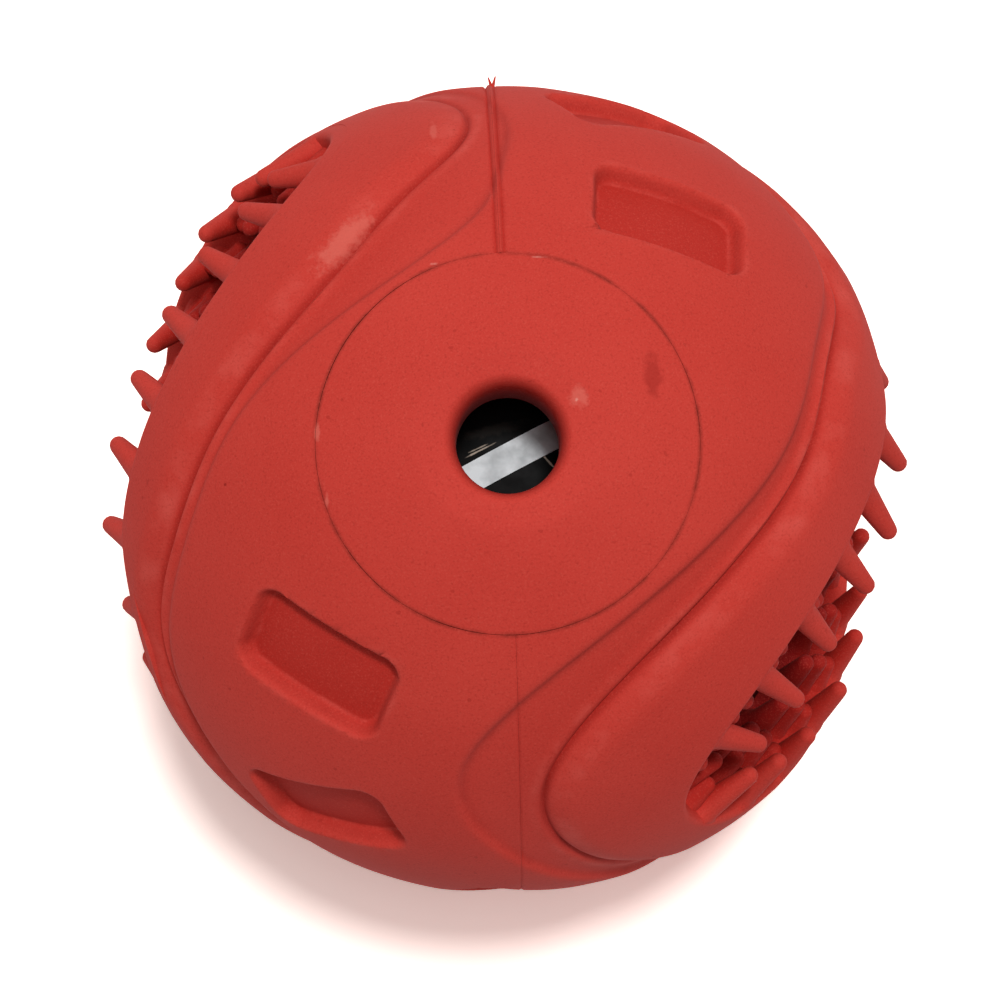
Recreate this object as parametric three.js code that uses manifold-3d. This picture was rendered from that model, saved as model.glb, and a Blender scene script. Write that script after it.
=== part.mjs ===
import * as THREE from "three";
import { mergeVertices } from "three/addons/utils/BufferGeometryUtils.js";
import Module from "manifold-3d";

// Hollow rubber chew ball with two slots full of rubber bristles and a loose ball inside.
// Millimetres. X is the slot axis and the mould's pull, Y lies in the parting plane, Z is the feed-hole axis.

const deg = Math.PI / 180;

// shell
const ballRadius = 45;
const wall = 8.5;
const cavityRadius = ballRadius - wall;
const fit = 0.3;
const around = 60;

// relief of the outside, measured down from the ball's radius
const stripDepth = 0.95;
const grooveDepth = 1.85;
const lipDrop = 0.15;
const lipCrown = 0.1;
const stepHalf = 0.7;
const stepEase = 2.2;

// lining of the slot's lip, which carries the bristles
const liningThick = 2.2;
const liningRound = 1;
const liningInset = 0.2;

// feed discs
const seamRadius = 18.8;
const holeRadius = 5.1;
const holeRound = 1.3;
const seatRadius = 9;
const seatHeight = Math.sqrt(ballRadius ** 2 - seatRadius ** 2);
const discSegments = 32;
const seamRound = 0.35;

// pockets on the central band
const pocketLength = 16.6;
const pocketWidth = 10.1;
const pocketDepth = 1.9;
const pocketCorner = 2.1;
const pocketDraft = 0.9;
const pocketSink = 0.35;
const pocketSpots = [
  { az: 53, el: 48.8, turn: 24 },
  { az: 69, el: 24, turn: 38 },
  { az: 90, el: 0, turn: -38 },
  { az: 226, el: 49.8, turn: 12.5 },
  { az: 240, el: 24.4, turn: 35.5 },
  { az: 270, el: 0, turn: -38 },
];

// bristles
const fingerPitch = 7;
const fingerRoot = 1.6;
const fingerTip = 1.02;
const fingerLength = 7.4;
const fingerLean = 0.16;
const fingerDepth = 1.9;
const nubLength = 5.4;
const nubDepth = 5.7;
const fingerSides = 5;
const nubSides = 4;
const slotTip = 152 * deg;

// loose ball, which lies on the bottom of its cavity
const innerPlay = 4.5;
const innerRadius = cavityRadius - innerPlay;
const innerWall = 2;
const bandWidth = 3;
const bandProud = 0.12;
const innerDrop = innerPlay - fit;
const bandTurn = 26 * deg;

// nibs of flash left on the parting line
const nibWidth = 0.7;
const nibs = [
  { end: 1, el: 15, height: 1.1 },
  { end: -1, el: 8, height: 0.5 },
];

const wasm = await Module();
wasm.setup();
const { Manifold, Mesh } = wasm;

/** Solid from a three.js geometry. */
function solid(geometry) {
  const flat = geometry.index ? geometry.toNonIndexed() : geometry;
  const bare = new THREE.BufferGeometry();
  bare.setAttribute("position", flat.getAttribute("position"));
  const merged = mergeVertices(bare, 1e-4);
  return new Manifold(
    new Mesh({
      numProp: 3,
      vertProperties: merged.attributes.position.array,
      triVerts: new Uint32Array(merged.index.array),
    }),
  );
}

/** Three.js geometry from a solid. */
function geometryOf(shape) {
  const mesh = shape.getMesh();
  const count = mesh.numProp;
  const position = new Float32Array(mesh.numVert * 3);
  for (let i = 0; i < mesh.numVert; i += 1) {
    position.set(mesh.vertProperties.subarray(i * count, i * count + 3), i * 3);
  }
  const geometry = new THREE.BufferGeometry();
  geometry.setAttribute("position", new THREE.BufferAttribute(position, 3));
  geometry.setIndex(new THREE.BufferAttribute(new Uint32Array(mesh.triVerts), 1));
  geometry.computeVertexNormals();
  return geometry;
}

/** Even wave about the slot axis: amplitude in degrees, its crest at an angle, its order. */
const wave = (angle, amplitude, crest, order) => amplitude * Math.cos(order * (angle - crest * deg));

/** Angle from the slot axis to the slot's visible edge, for a direction round that axis. */
function edgeAngle(phi) {
  return (
    (40.4 + wave(phi, 20, -29.5, 2) + wave(phi, 5.6, -32, 4) + wave(phi, 1.3, -27, 6)) * deg
  );
}

/** Angle from the slot axis to the groove behind the lip. */
function grooveAngle(phi) {
  return (
    (58.1 + wave(phi, 25.2, -32, 2) + wave(phi, 3, -32.3, 4) + wave(phi, 2, 13.3, 6)) * deg
  );
}

/** Angle from the slot axis to the step that bounds the central band. */
function bandAngle(phi) {
  return grooveAngle(phi) + (4.8 + 8.6 * Math.cos(phi - 127 * deg) ** 10) * deg;
}

/** Angle to the line half-way between the two slots' bands, shared by both sides. */
function middleAngle(phi) {
  return (bandAngle(phi) + Math.PI - bandAngle(Math.PI - phi)) / 2;
}

/** Point at an angle from the slot axis, a direction round it and a radius. */
function polar(phi, angle, radius) {
  return new THREE.Vector3(
    radius * Math.cos(angle),
    radius * Math.sin(angle) * Math.cos(phi),
    radius * Math.sin(angle) * Math.sin(phi),
  );
}

/** Angle for a length across a line that runs round the slot axis, so that the length stays even. */
function across(line, phi, length) {
  const step = 0.01;
  const slope = (line(phi + step) - line(phi - step)) / (2 * step);
  return (length / ballRadius) * Math.hypot(1, slope / Math.sin(line(phi)));
}

/** Rings of one side's outside, from the slot's cut to the middle line, as points for a direction. */
function outsideSection(phi) {
  const cut = edgeAngle(phi) + across(edgeAngle, phi, liningThick + fit / 2);
  const groove = grooveAngle(phi);
  const step = bandAngle(phi);
  const middle = middleAngle(phi);
  const along = (from, to, part) => from + (to - from) * part;
  const foot = step - across(bandAngle, phi, stepHalf);
  const brow = step + across(bandAngle, phi, stepHalf);
  const top = step + across(bandAngle, phi, stepEase);
  const section = [
    [cut, ballRadius - lipDrop],
    [along(cut, groove, 0.3), ballRadius + lipCrown],
    [along(cut, groove, 0.6), ballRadius - lipCrown],
    [along(cut, groove, 0.84), ballRadius - 0.4 * grooveDepth],
    [groove, ballRadius - grooveDepth],
    [along(groove, foot, 0.2), ballRadius - 1.25 * stripDepth],
    [along(groove, foot, 0.6), ballRadius - 0.8 * stripDepth],
    [foot, ballRadius - stripDepth],
    [brow, ballRadius - 0.13 * stripDepth],
    [top, ballRadius],
  ];
  const bandRings = 4;
  for (let i = 1; i <= bandRings; i += 1) {
    section.push([along(top, middle, i / bandRings), ballRadius]);
  }
  return section.map(([angle, radius]) => polar(phi, angle, radius));
}

/** Rings of one side's cavity wall, from the middle line back to the slot's cut. */
function insideSection(phi) {
  const cut = edgeAngle(phi) + across(edgeAngle, phi, liningThick + fit / 2);
  const middle = middleAngle(phi);
  const rings = 6;
  const section = [];
  for (let i = rings; i >= 0; i -= 1) {
    section.push(polar(phi, cut + ((middle - cut) * i) / rings, cavityRadius));
  }
  return section;
}

/** Skin between equal rings of points, as triangles pushed onto a list. */
function skin(points, rings, closedAcross, closedAround = true) {
  const count = closedAround ? rings.length : rings.length - 1;
  const length = rings[0].length;
  const columns = closedAcross ? length : length - 1;
  for (let i = 0; i < count; i += 1) {
    const here = rings[i];
    const next = rings[(i + 1) % rings.length];
    for (let j = 0; j < columns; j += 1) {
      const k = (j + 1) % length;
      points.push(here[j], here[k], next[k]);
      points.push(here[j], next[k], next[j]);
    }
  }
}

/** Fan of triangles over a ring of points, pushed onto a list. */
function cap(points, ring, flipped) {
  for (let i = 1; i + 1 < ring.length; i += 1) {
    const pair = flipped ? [ring[i + 1], ring[i]] : [ring[i], ring[i + 1]];
    points.push(ring[0], ...pair);
  }
}

/** Solid from loose triangles that all face the same way, with its faces turned outwards. */
function closedSolid(points) {
  const made = solid(new THREE.BufferGeometry().setFromPoints(points));
  if (made.volume() > 0) {
    return made;
  }
  const flipped = [];
  for (let i = 0; i < points.length; i += 3) {
    flipped.push(points[i], points[i + 2], points[i + 1]);
  }
  return solid(new THREE.BufferGeometry().setFromPoints(flipped));
}

/** The whole shell with its two open slots, before it is parted. */
function hollowBall() {
  const points = [];
  const outer = [];
  const inner = [];
  for (let i = 0; i < around; i += 1) {
    const phi = (2 * Math.PI * i) / around;
    outer.push(outsideSection(phi));
    inner.push(insideSection(phi));
  }
  const rims = outer.map((section, i) => [inner[i][inner[i].length - 1], section[0]]);
  skin(points, outer, false);
  skin(points, inner, false);
  skin(points, rims, false);
  const opposite = points.map((p) => new THREE.Vector3(-p.x, -p.y, p.z));
  return closedSolid([...points, ...opposite]);
}

/** Rounded rectangle of points at a height, grown or shrunk by an offset. */
function roundedRectangle(offset, height) {
  const cornerSteps = 3;
  const radius = pocketCorner + offset;
  const ring = [];
  for (let corner = 0; corner < 4; corner += 1) {
    const sx = corner === 0 || corner === 3 ? 1 : -1;
    const sy = corner < 2 ? 1 : -1;
    for (let s = 0; s <= cornerSteps; s += 1) {
      const angle = (corner + s / cornerSteps) * 90 * deg;
      ring.push(
        new THREE.Vector3(
          sx * (pocketLength / 2 - pocketCorner) + radius * Math.cos(angle),
          sy * (pocketWidth / 2 - pocketCorner) + radius * Math.sin(angle),
          height,
        ),
      );
    }
  }
  return ring;
}

/** Cutter for a pocket, lofted from a narrow floor to a wide mouth and set on its spot. */
function pocketCutter({ az, el, turn }) {
  const clear = 2;
  const loops = [
    roundedRectangle(-pocketDraft, -pocketDepth),
    roundedRectangle(0, 0),
    roundedRectangle((clear * pocketDraft) / pocketDepth, clear),
  ];
  const points = [];
  skin(
    points,
    loops[0].map((_, i) => loops.map((loop) => loop[i])),
    false,
  );
  cap(points, loops[0], false);
  cap(points, loops[loops.length - 1], true);
  const cutter = closedSolid(points).rotate([0, 0, turn]);
  // lay local Z along growing X and local X along growing Y, then turn to the spot
  return cutter
    .translate([0, 0, ballRadius - pocketSink])
    .rotate([0, 90, 0])
    .rotate([90, 0, 0])
    .rotate([0, -el, 0])
    .rotate([0, 0, az]);
}

/** All ten pockets: each listed spot, and its copy by a half turn about the slot axis. */
function pockets() {
  const cutters = [];
  pocketSpots.forEach((spot) => {
    const first = pocketCutter(spot);
    cutters.push(first);
    if (spot.el > 0) {
      cutters.push(first.rotate([180, 0, 0]));
    }
  });
  return Manifold.union(cutters);
}

/** Right prism with the feed disc's outline, long enough to cut through the shell. */
function discBore(radius) {
  const bore = new THREE.CylinderGeometry(radius, radius, 4 * ballRadius, discSegments);
  bore.rotateX(Math.PI / 2);
  return solid(bore);
}

/** Profile of a feed disc from its bore round to its outside, as radius and height. */
function discProfile() {
  const rim = seamRadius - fit / 2;
  const profile = [];
  const low = Math.sqrt(cavityRadius ** 2 - holeRadius ** 2);
  profile.push([holeRadius, low]);
  for (let i = 0; i <= 2; i += 1) {
    const turn = (i / 2) * 90 * deg;
    profile.push([
      holeRadius + holeRound * (1 - Math.cos(turn)),
      seatHeight - holeRound * (1 - Math.sin(turn)),
    ]);
  }
  const from = Math.asin(seatRadius / ballRadius);
  const to = Math.asin((rim - seamRound) / ballRadius);
  for (let i = 0; i <= 3; i += 1) {
    const lean = from + ((to - from) * i) / 3;
    profile.push([ballRadius * Math.sin(lean), ballRadius * Math.cos(lean)]);
  }
  profile.push([rim, ballRadius * Math.cos(to) - 2 * seamRound]);
  const back = Math.asin(rim / cavityRadius);
  const bore = Math.asin(holeRadius / cavityRadius);
  for (let i = 0; i < 4; i += 1) {
    const lean = back + ((bore - back) * i) / 4;
    profile.push([cavityRadius * Math.sin(lean), cavityRadius * Math.cos(lean)]);
  }
  return profile;
}

/** Ring made by turning a closed profile of radius and height about Z. */
function turned(profile, segments) {
  const rings = [];
  for (let i = 0; i < segments; i += 1) {
    const angle = ((i + 0.5) * 2 * Math.PI) / segments;
    rings.push(
      profile.map(
        ([radius, height]) =>
          new THREE.Vector3(radius * Math.cos(angle), radius * Math.sin(angle), height),
      ),
    );
  }
  const points = [];
  skin(points, rings, true);
  return closedSolid(points);
}

/** Small tab of flash that stands proud of the parting line, on the side of growing X. */
function nib({ end, el, height }) {
  const sunk = 1;
  const tab = new THREE.BoxGeometry(nibWidth, height + sunk, nibWidth);
  tab.translate((fit + nibWidth) / 2, ballRadius + (height - sunk) / 2, 0);
  tab.rotateX(el * deg);
  const made = solid(tab);
  return end > 0 ? made : made.mirror([0, 1, 0]);
}

/** Direction along the slot's edge at an angle round the slot axis. */
function edgeTangent(phi, radius) {
  const step = 0.01;
  const after = polar(phi + step, edgeAngle(phi + step), radius);
  const before = polar(phi - step, edgeAngle(phi - step), radius);
  return after.sub(before).normalize();
}

/** Angles round the slot axis at equal lengths along the edge, between two angles. */
function evenStations(from, to, pitch, shift) {
  const samples = 400;
  const lengths = [0];
  let last = polar(from, edgeAngle(from), ballRadius);
  for (let i = 1; i <= samples; i += 1) {
    const phi = from + ((to - from) * i) / samples;
    const point = polar(phi, edgeAngle(phi), ballRadius);
    lengths.push(lengths[i - 1] + point.distanceTo(last));
    last = point;
  }
  const total = lengths[samples];
  const count = Math.floor((total - pitch) / pitch);
  const margin = (total - count * pitch) / 2;
  const stations = [];
  for (let k = 0; k <= count - (shift > 0 ? 1 : 0); k += 1) {
    const goal = margin + (k + shift) * pitch;
    const i = lengths.findIndex((value) => value >= goal);
    const part = (goal - lengths[i - 1]) / (lengths[i] - lengths[i - 1]);
    stations.push(from + ((to - from) * (i - 1 + part)) / samples);
  }
  return stations;
}

/** One tapered finger with a round tip, rooted in the lip and pointing across the slot. */
function finger(phi, depth, length, sides) {
  const tipSteps = 1;
  const profile = [new THREE.Vector2(0, -1), new THREE.Vector2(fingerRoot, -1)];
  for (let i = 0; i <= tipSteps; i += 1) {
    const turn = (i / tipSteps) * 50 * deg;
    profile.push(
      new THREE.Vector2(
        fingerTip * Math.cos(turn),
        length - fingerTip + fingerTip * Math.sin(turn),
      ),
    );
  }
  profile.push(new THREE.Vector2(0, length));
  const shape = new THREE.LatheGeometry(profile, sides);
  const radius = ballRadius - depth;
  const root = polar(phi, edgeAngle(phi), radius);
  const outward = root.clone().normalize();
  const tangent = edgeTangent(phi, radius);
  const way = new THREE.Vector3().crossVectors(outward, tangent);
  const axis = polar(0, 0, 1);
  if (way.dot(axis) < 0) {
    way.negate();
  }
  way.addScaledVector(outward, fingerLean).normalize();
  const turn = new THREE.Quaternion().setFromUnitVectors(new THREE.Vector3(0, 1, 0), way);
  shape.applyQuaternion(turn);
  shape.translate(root.x, root.y, root.z);
  return solid(shape);
}

/** Section of the lip's lining, as points round its outline. */
function liningSection(phi) {
  const edge = edgeAngle(phi);
  const at = (depth) => edge + across(edgeAngle, phi, depth);
  const back = at(liningThick - fit / 2);
  return [
    polar(phi, edge, cavityRadius + liningInset),
    polar(phi, edge, ballRadius - liningRound),
    polar(phi, at(0.45 * liningRound), ballRadius - 0.4 * liningRound),
    polar(phi, at(1.15 * liningRound), ballRadius - lipDrop),
    polar(phi, back, ballRadius - lipDrop),
    polar(phi, back, cavityRadius + liningInset),
  ];
}

/** Bristle row along one lip of the slot: the lip's lining with two ranks of fingers. */
function bristleRow(from, to) {
  const steps = 26;
  const endGap = fit / 2 / ballRadius;
  const start = from + endGap / Math.sin(edgeAngle(from));
  const stop = to - endGap / Math.sin(edgeAngle(to));
  const sections = [];
  for (let i = 0; i <= steps; i += 1) {
    sections.push(liningSection(start + ((stop - start) * i) / steps));
  }
  const points = [];
  skin(points, sections, true, false);
  cap(points, sections[0], true);
  cap(points, sections[steps], false);
  const fingers = [];
  evenStations(start, stop, fingerPitch, 0).forEach((phi) => {
    fingers.push(finger(phi, fingerDepth, fingerLength, fingerSides));
  });
  evenStations(start, stop, fingerPitch, 0.5).forEach((phi) => {
    fingers.push(finger(phi, nubDepth, nubLength, nubSides));
  });
  return Manifold.union([closedSolid(points), ...fingers]);
}

/** One half shell of the loose ball, open at the band. */
function innerHalf() {
  const steps = 5;
  const out = [];
  const back = [];
  const lowOut = Math.asin((bandWidth / 2 + fit) / innerRadius);
  const innerSkin = innerRadius - innerWall;
  const lowIn = Math.asin((bandWidth / 2 + fit) / innerSkin);
  for (let i = 0; i <= steps; i += 1) {
    const a = lowOut + ((90 * deg - lowOut) * i) / steps;
    out.push(new THREE.Vector2(innerRadius * Math.cos(a) * (i < steps), innerRadius * Math.sin(a)));
    const b = lowIn + ((90 * deg - lowIn) * (steps - i)) / steps;
    back.push(new THREE.Vector2(innerSkin * Math.cos(b) * (i > 0), innerSkin * Math.sin(b)));
  }
  const profile = [...out, ...back];
  profile.push(profile[0].clone());
  return new THREE.LatheGeometry(profile, 24);
}

/** The band that joins the loose ball's halves. */
function innerBand() {
  const low = innerRadius - innerWall;
  const high = innerRadius + bandProud;
  const half = bandWidth / 2;
  return turned(
    [
      [low, -half],
      [high, -half],
      [high, half],
      [low, half],
    ],
    28,
  );
}

const material = (color, roughness) => new THREE.MeshStandardMaterial({ color, roughness });
const redRubber = "#c2433c";
const blackPlastic = "#151414";
const paleBand = "#d3d6d8";

const part = new THREE.Group();

/** Adds a named mesh to the part. */
function add(name, geometry, colour, roughness) {
  const mesh = new THREE.Mesh(geometry, material(colour, roughness));
  mesh.name = name;
  part.add(mesh);
  return mesh;
}

// shell halves
const parted = hollowBall().subtract(discBore(seamRadius + fit / 2)).subtract(pockets());
[1, -1].forEach((side) => {
  let half = parted.trimByPlane([side, 0, 0], fit / 2);
  if (side > 0) {
    half = Manifold.union([half, ...nibs.map(nib)]);
  }
  add(side > 0 ? "shell_half_right" : "shell_half_left", geometryOf(half), redRubber, 0.8);
});

// feed discs
const disc = turned(discProfile(), discSegments);
add("feed_disc_top", geometryOf(disc), redRubber, 0.8);
add("feed_disc_bottom", geometryOf(disc.rotate([180, 0, 0])), redRubber, 0.8);

// bristle rows
const rows = {
  upper: bristleRow(slotTip - Math.PI, slotTip),
  lower: bristleRow(slotTip, slotTip + Math.PI),
};
Object.entries(rows).forEach(([lip, row]) => {
  add("bristle_row_right_" + lip, geometryOf(row), redRubber, 0.8);
  add("bristle_row_left_" + lip, geometryOf(row.rotate([0, 0, 180])), redRubber, 0.8);
});

// loose ball
const looseParts = {
  inner_ball_half_a: innerHalf(),
  inner_ball_half_b: innerHalf().rotateX(Math.PI),
};
Object.entries(looseParts).forEach(([name, geometry]) => {
  geometry.rotateZ(bandTurn);
  geometry.translate(0, 0, -innerDrop);
  add(name, geometryOf(solid(geometry)), blackPlastic, 0.45);
});
const band = geometryOf(innerBand().rotate([90, 0, 0]));
band.rotateZ(bandTurn);
band.translate(0, 0, -innerDrop);
add("inner_ball_band", band, paleBand, 0.4);

export default part;
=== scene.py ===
"""Finished looks of the hollow rubber chew ball.

It has a moulded shell in two halves, two feed discs, four bristle rows and a loose inner ball.
"""

import logging
import math
from collections.abc import Callable
from dataclasses import dataclass, field
from enum import Enum
from functools import partial

import bmesh
import bpy
import numpy as np
from mathutils import Matrix, Vector


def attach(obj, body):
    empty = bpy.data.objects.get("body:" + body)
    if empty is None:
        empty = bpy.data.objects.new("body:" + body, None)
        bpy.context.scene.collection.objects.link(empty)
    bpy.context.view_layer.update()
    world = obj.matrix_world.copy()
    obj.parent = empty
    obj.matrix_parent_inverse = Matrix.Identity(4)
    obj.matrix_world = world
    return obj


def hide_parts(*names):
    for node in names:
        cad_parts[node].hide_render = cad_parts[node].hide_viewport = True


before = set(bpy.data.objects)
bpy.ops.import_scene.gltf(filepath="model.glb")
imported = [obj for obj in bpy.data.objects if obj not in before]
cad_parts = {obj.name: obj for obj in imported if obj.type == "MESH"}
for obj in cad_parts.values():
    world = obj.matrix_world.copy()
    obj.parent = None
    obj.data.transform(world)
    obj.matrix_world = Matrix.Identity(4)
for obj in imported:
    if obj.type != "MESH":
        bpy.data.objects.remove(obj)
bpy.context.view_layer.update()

log = logging.getLogger("chew_ball")

# A millimetre in metres. The other lengths here, and those of the ball's pieces, are in millimetres.
MM = 0.001
SKIN = 0.05
MERGE = 0.001
CUT_SLACK = 0.0005
EDGE_SLACK = 0.01
TINY = 1e-6
ORIGIN = (0, 0, 0)
Line = Callable[[np.ndarray], np.ndarray]
Colour = tuple[float, float, float]
Span = tuple[float, float]


class Body(Enum):
    """The two bodies that pieces ride on."""

    SHELL = "shell"
    INNER_BALL = "inner_ball"


class Slot(Enum):
    """Material slots of the record."""

    RED_RUBBER = "red_rubber"
    BLACK_SHELL = "black_shell"
    PALE_BAND = "pale_band"


class Side(Enum):
    """The two sides of the ball, by the direction of their slot along X."""

    RIGHT = 1
    LEFT = -1


class Lip(Enum):
    """The two lips of a slot."""

    UPPER = "upper"
    LOWER = "lower"


def eased_ramp(travel: np.ndarray, run: float, ease: float) -> np.ndarray:
    """Ramp from 0 to 1 whose two corners are rounded.

    Args:
        travel: Distance past the ramp's start.
        run: Length of the ramp.
        ease: Length over which each corner turns.

    Returns:
        The ramp's height at each distance.
    """

    def area(upto: np.ndarray) -> np.ndarray:
        """Area under the plain ramp up to a distance."""
        inside = 0.5 * np.clip(upto, 0.0, run) ** 2
        return inside + run * np.maximum(upto - run, 0.0)

    return (area(travel + ease / 2) - area(travel - ease / 2)) / (ease * run)


def parted(start: float, stop: float, steps: int) -> np.ndarray:
    """Evenly spaced values from start to stop, both included."""
    return np.linspace(start, stop, steps + 1)


def rounded_edge(distance: np.ndarray, radius: float) -> np.ndarray:
    """Depth by which a quarter-round edge falls away from a flat surface.

    Args:
        distance: Distance from the edge, over the surface.
        radius: Radius of the round.

    Returns:
        The depth at each distance, 0 beyond the round and on the far side of the edge.
    """
    short = np.clip(radius - distance, 0.0, radius)
    fall = radius - np.sqrt(radius**2 - short**2)
    return np.where(distance < -EDGE_SLACK, 0.0, fall)


@dataclass(frozen=True)
class Swell:
    """One even wave of a line that runs round the slot axis, in degrees."""

    amplitude: float
    crest: float
    order: int

    def at(self, turn: np.ndarray) -> np.ndarray:
        """Height of the wave in each direction round the slot axis."""
        return self.amplitude * np.cos(self.order * (turn - math.radians(self.crest)))


@dataclass(frozen=True)
class Shift:
    """A stretch of a line that is moved away from its waves, in degrees."""

    amount: float
    centre: float
    reach: float

    def at(self, turn: np.ndarray) -> np.ndarray:
        """How far the line is moved in each direction round the slot axis."""
        near = np.cos(turn - math.radians(self.centre)) - 1
        return self.amount * np.exp(2 * near / math.radians(self.reach) ** 2)


@dataclass(frozen=True)
class Strip:
    """Width of the strip between the groove and the band's step, in degrees."""

    least: float
    swell: float
    crest: float
    power: int

    def at(self, turn: np.ndarray) -> np.ndarray:
        """Width of the strip in each direction round the slot axis."""
        return self.least + self.swell * np.cos(turn - math.radians(self.crest)) ** self.power


@dataclass(frozen=True)
class Streak:
    """A soft stripe beside a line, for rubbing with a painted highlight and for painted shade: its offset and
    reach in millimetres, its share and its power.
    """

    offset: float
    reach: float
    share: float = 1.0
    power: int = 2

    def at(self, distance: np.ndarray) -> np.ndarray:
        """Wear at distances from the line."""
        return self.share * np.exp(-(((distance - self.offset) / self.reach) ** self.power))


@dataclass(frozen=True)
class PartingLine:
    """The moulding line, in millimetres: a ridge between two grooves towards +Y, a thin groove towards -Y.

    Each wave of its unevenness has a share, a length and a start.
    """

    ridge: float = 0.2
    ridge_change: float = 0.08
    ridge_width: float = 0.2
    side_depth: float = 0.26
    side_offset: float = 0.42
    side_width: float = 0.14
    groove: float = 0.15
    groove_change: float = 0.05
    groove_width: float = 0.14
    waves: tuple[tuple[float, float, float], ...] = ((0.5, 3.1, 1.0), (0.3, 1.3, 0.0), (0.2, 0.7, 0.0))

    def at(self, off: np.ndarray, run: np.ndarray, back: np.ndarray) -> np.ndarray:
        """Height of the moulding line.

        Args:
            off: Distance from the parting plane.
            run: Length along the line.
            back: Whether the place lies towards +Y.

        Returns:
            The line's height, negative in its grooves.
        """
        wander = sum(share * np.sin(run / length + start) for share, length, start in self.waves)
        ridge = (self.ridge + self.ridge_change * wander) * np.exp(-((off / self.ridge_width) ** 2))
        sides = self.side_depth * np.exp(-(((np.abs(off) - self.side_offset) / self.side_width) ** 2))
        front = -(self.groove + self.groove_change * wander) * np.exp(-((off / self.groove_width) ** 2))
        return np.where(back, ridge - sides, front)


@dataclass(frozen=True)
class Unevenness:
    """Slight waviness of hand-finished rubber, as a sum of seeded plane waves in millimetres."""

    seed: int = 11
    waves: int = 9
    lengths: tuple[float, ...] = (26.0, 11.0, 5.0)
    heights: tuple[float, ...] = (0.05, 0.028, 0.009)
    stretch: Span = (0.75, 1.3)

    def at(self, point: np.ndarray) -> np.ndarray:
        """Height of the waviness at points.

        Args:
            point: Points in millimetres, one to a row.

        Returns:
            One height for each point.
        """
        draw = np.random.default_rng(self.seed)
        total = np.zeros(len(point))
        for length, height in zip(self.lengths, self.heights):
            for _ in range(self.waves):
                heading = draw.normal(size=3)
                heading /= np.linalg.norm(heading)
                start = draw.uniform(0, 2 * math.pi)
                pace = 2 * math.pi / (length * draw.uniform(*self.stretch))
                total += height * np.cos(pace * (point @ heading) + start) / math.sqrt(self.waves)
        return total


@dataclass(frozen=True)
class Pocket:
    """A recess in the central band: where it lies and how it is turned, in degrees."""

    azimuth: float
    elevation: float
    turn: float

    def axes(self) -> np.ndarray:
        """Directions of the pocket.

        Returns:
            Its outward, length and width directions, one to a row.
        """
        az = math.radians(self.azimuth)
        el = math.radians(self.elevation)
        turn = math.radians(self.turn)
        out = np.array([math.cos(el) * math.cos(az), math.cos(el) * math.sin(az), math.sin(el)])
        east = np.array([-math.sin(az), math.cos(az), 0.0])
        north = np.cross(out, east)
        length = math.cos(turn) * east + math.sin(turn) * north
        width = math.cos(turn) * north - math.sin(turn) * east
        return np.stack([out, length, width])


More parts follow.
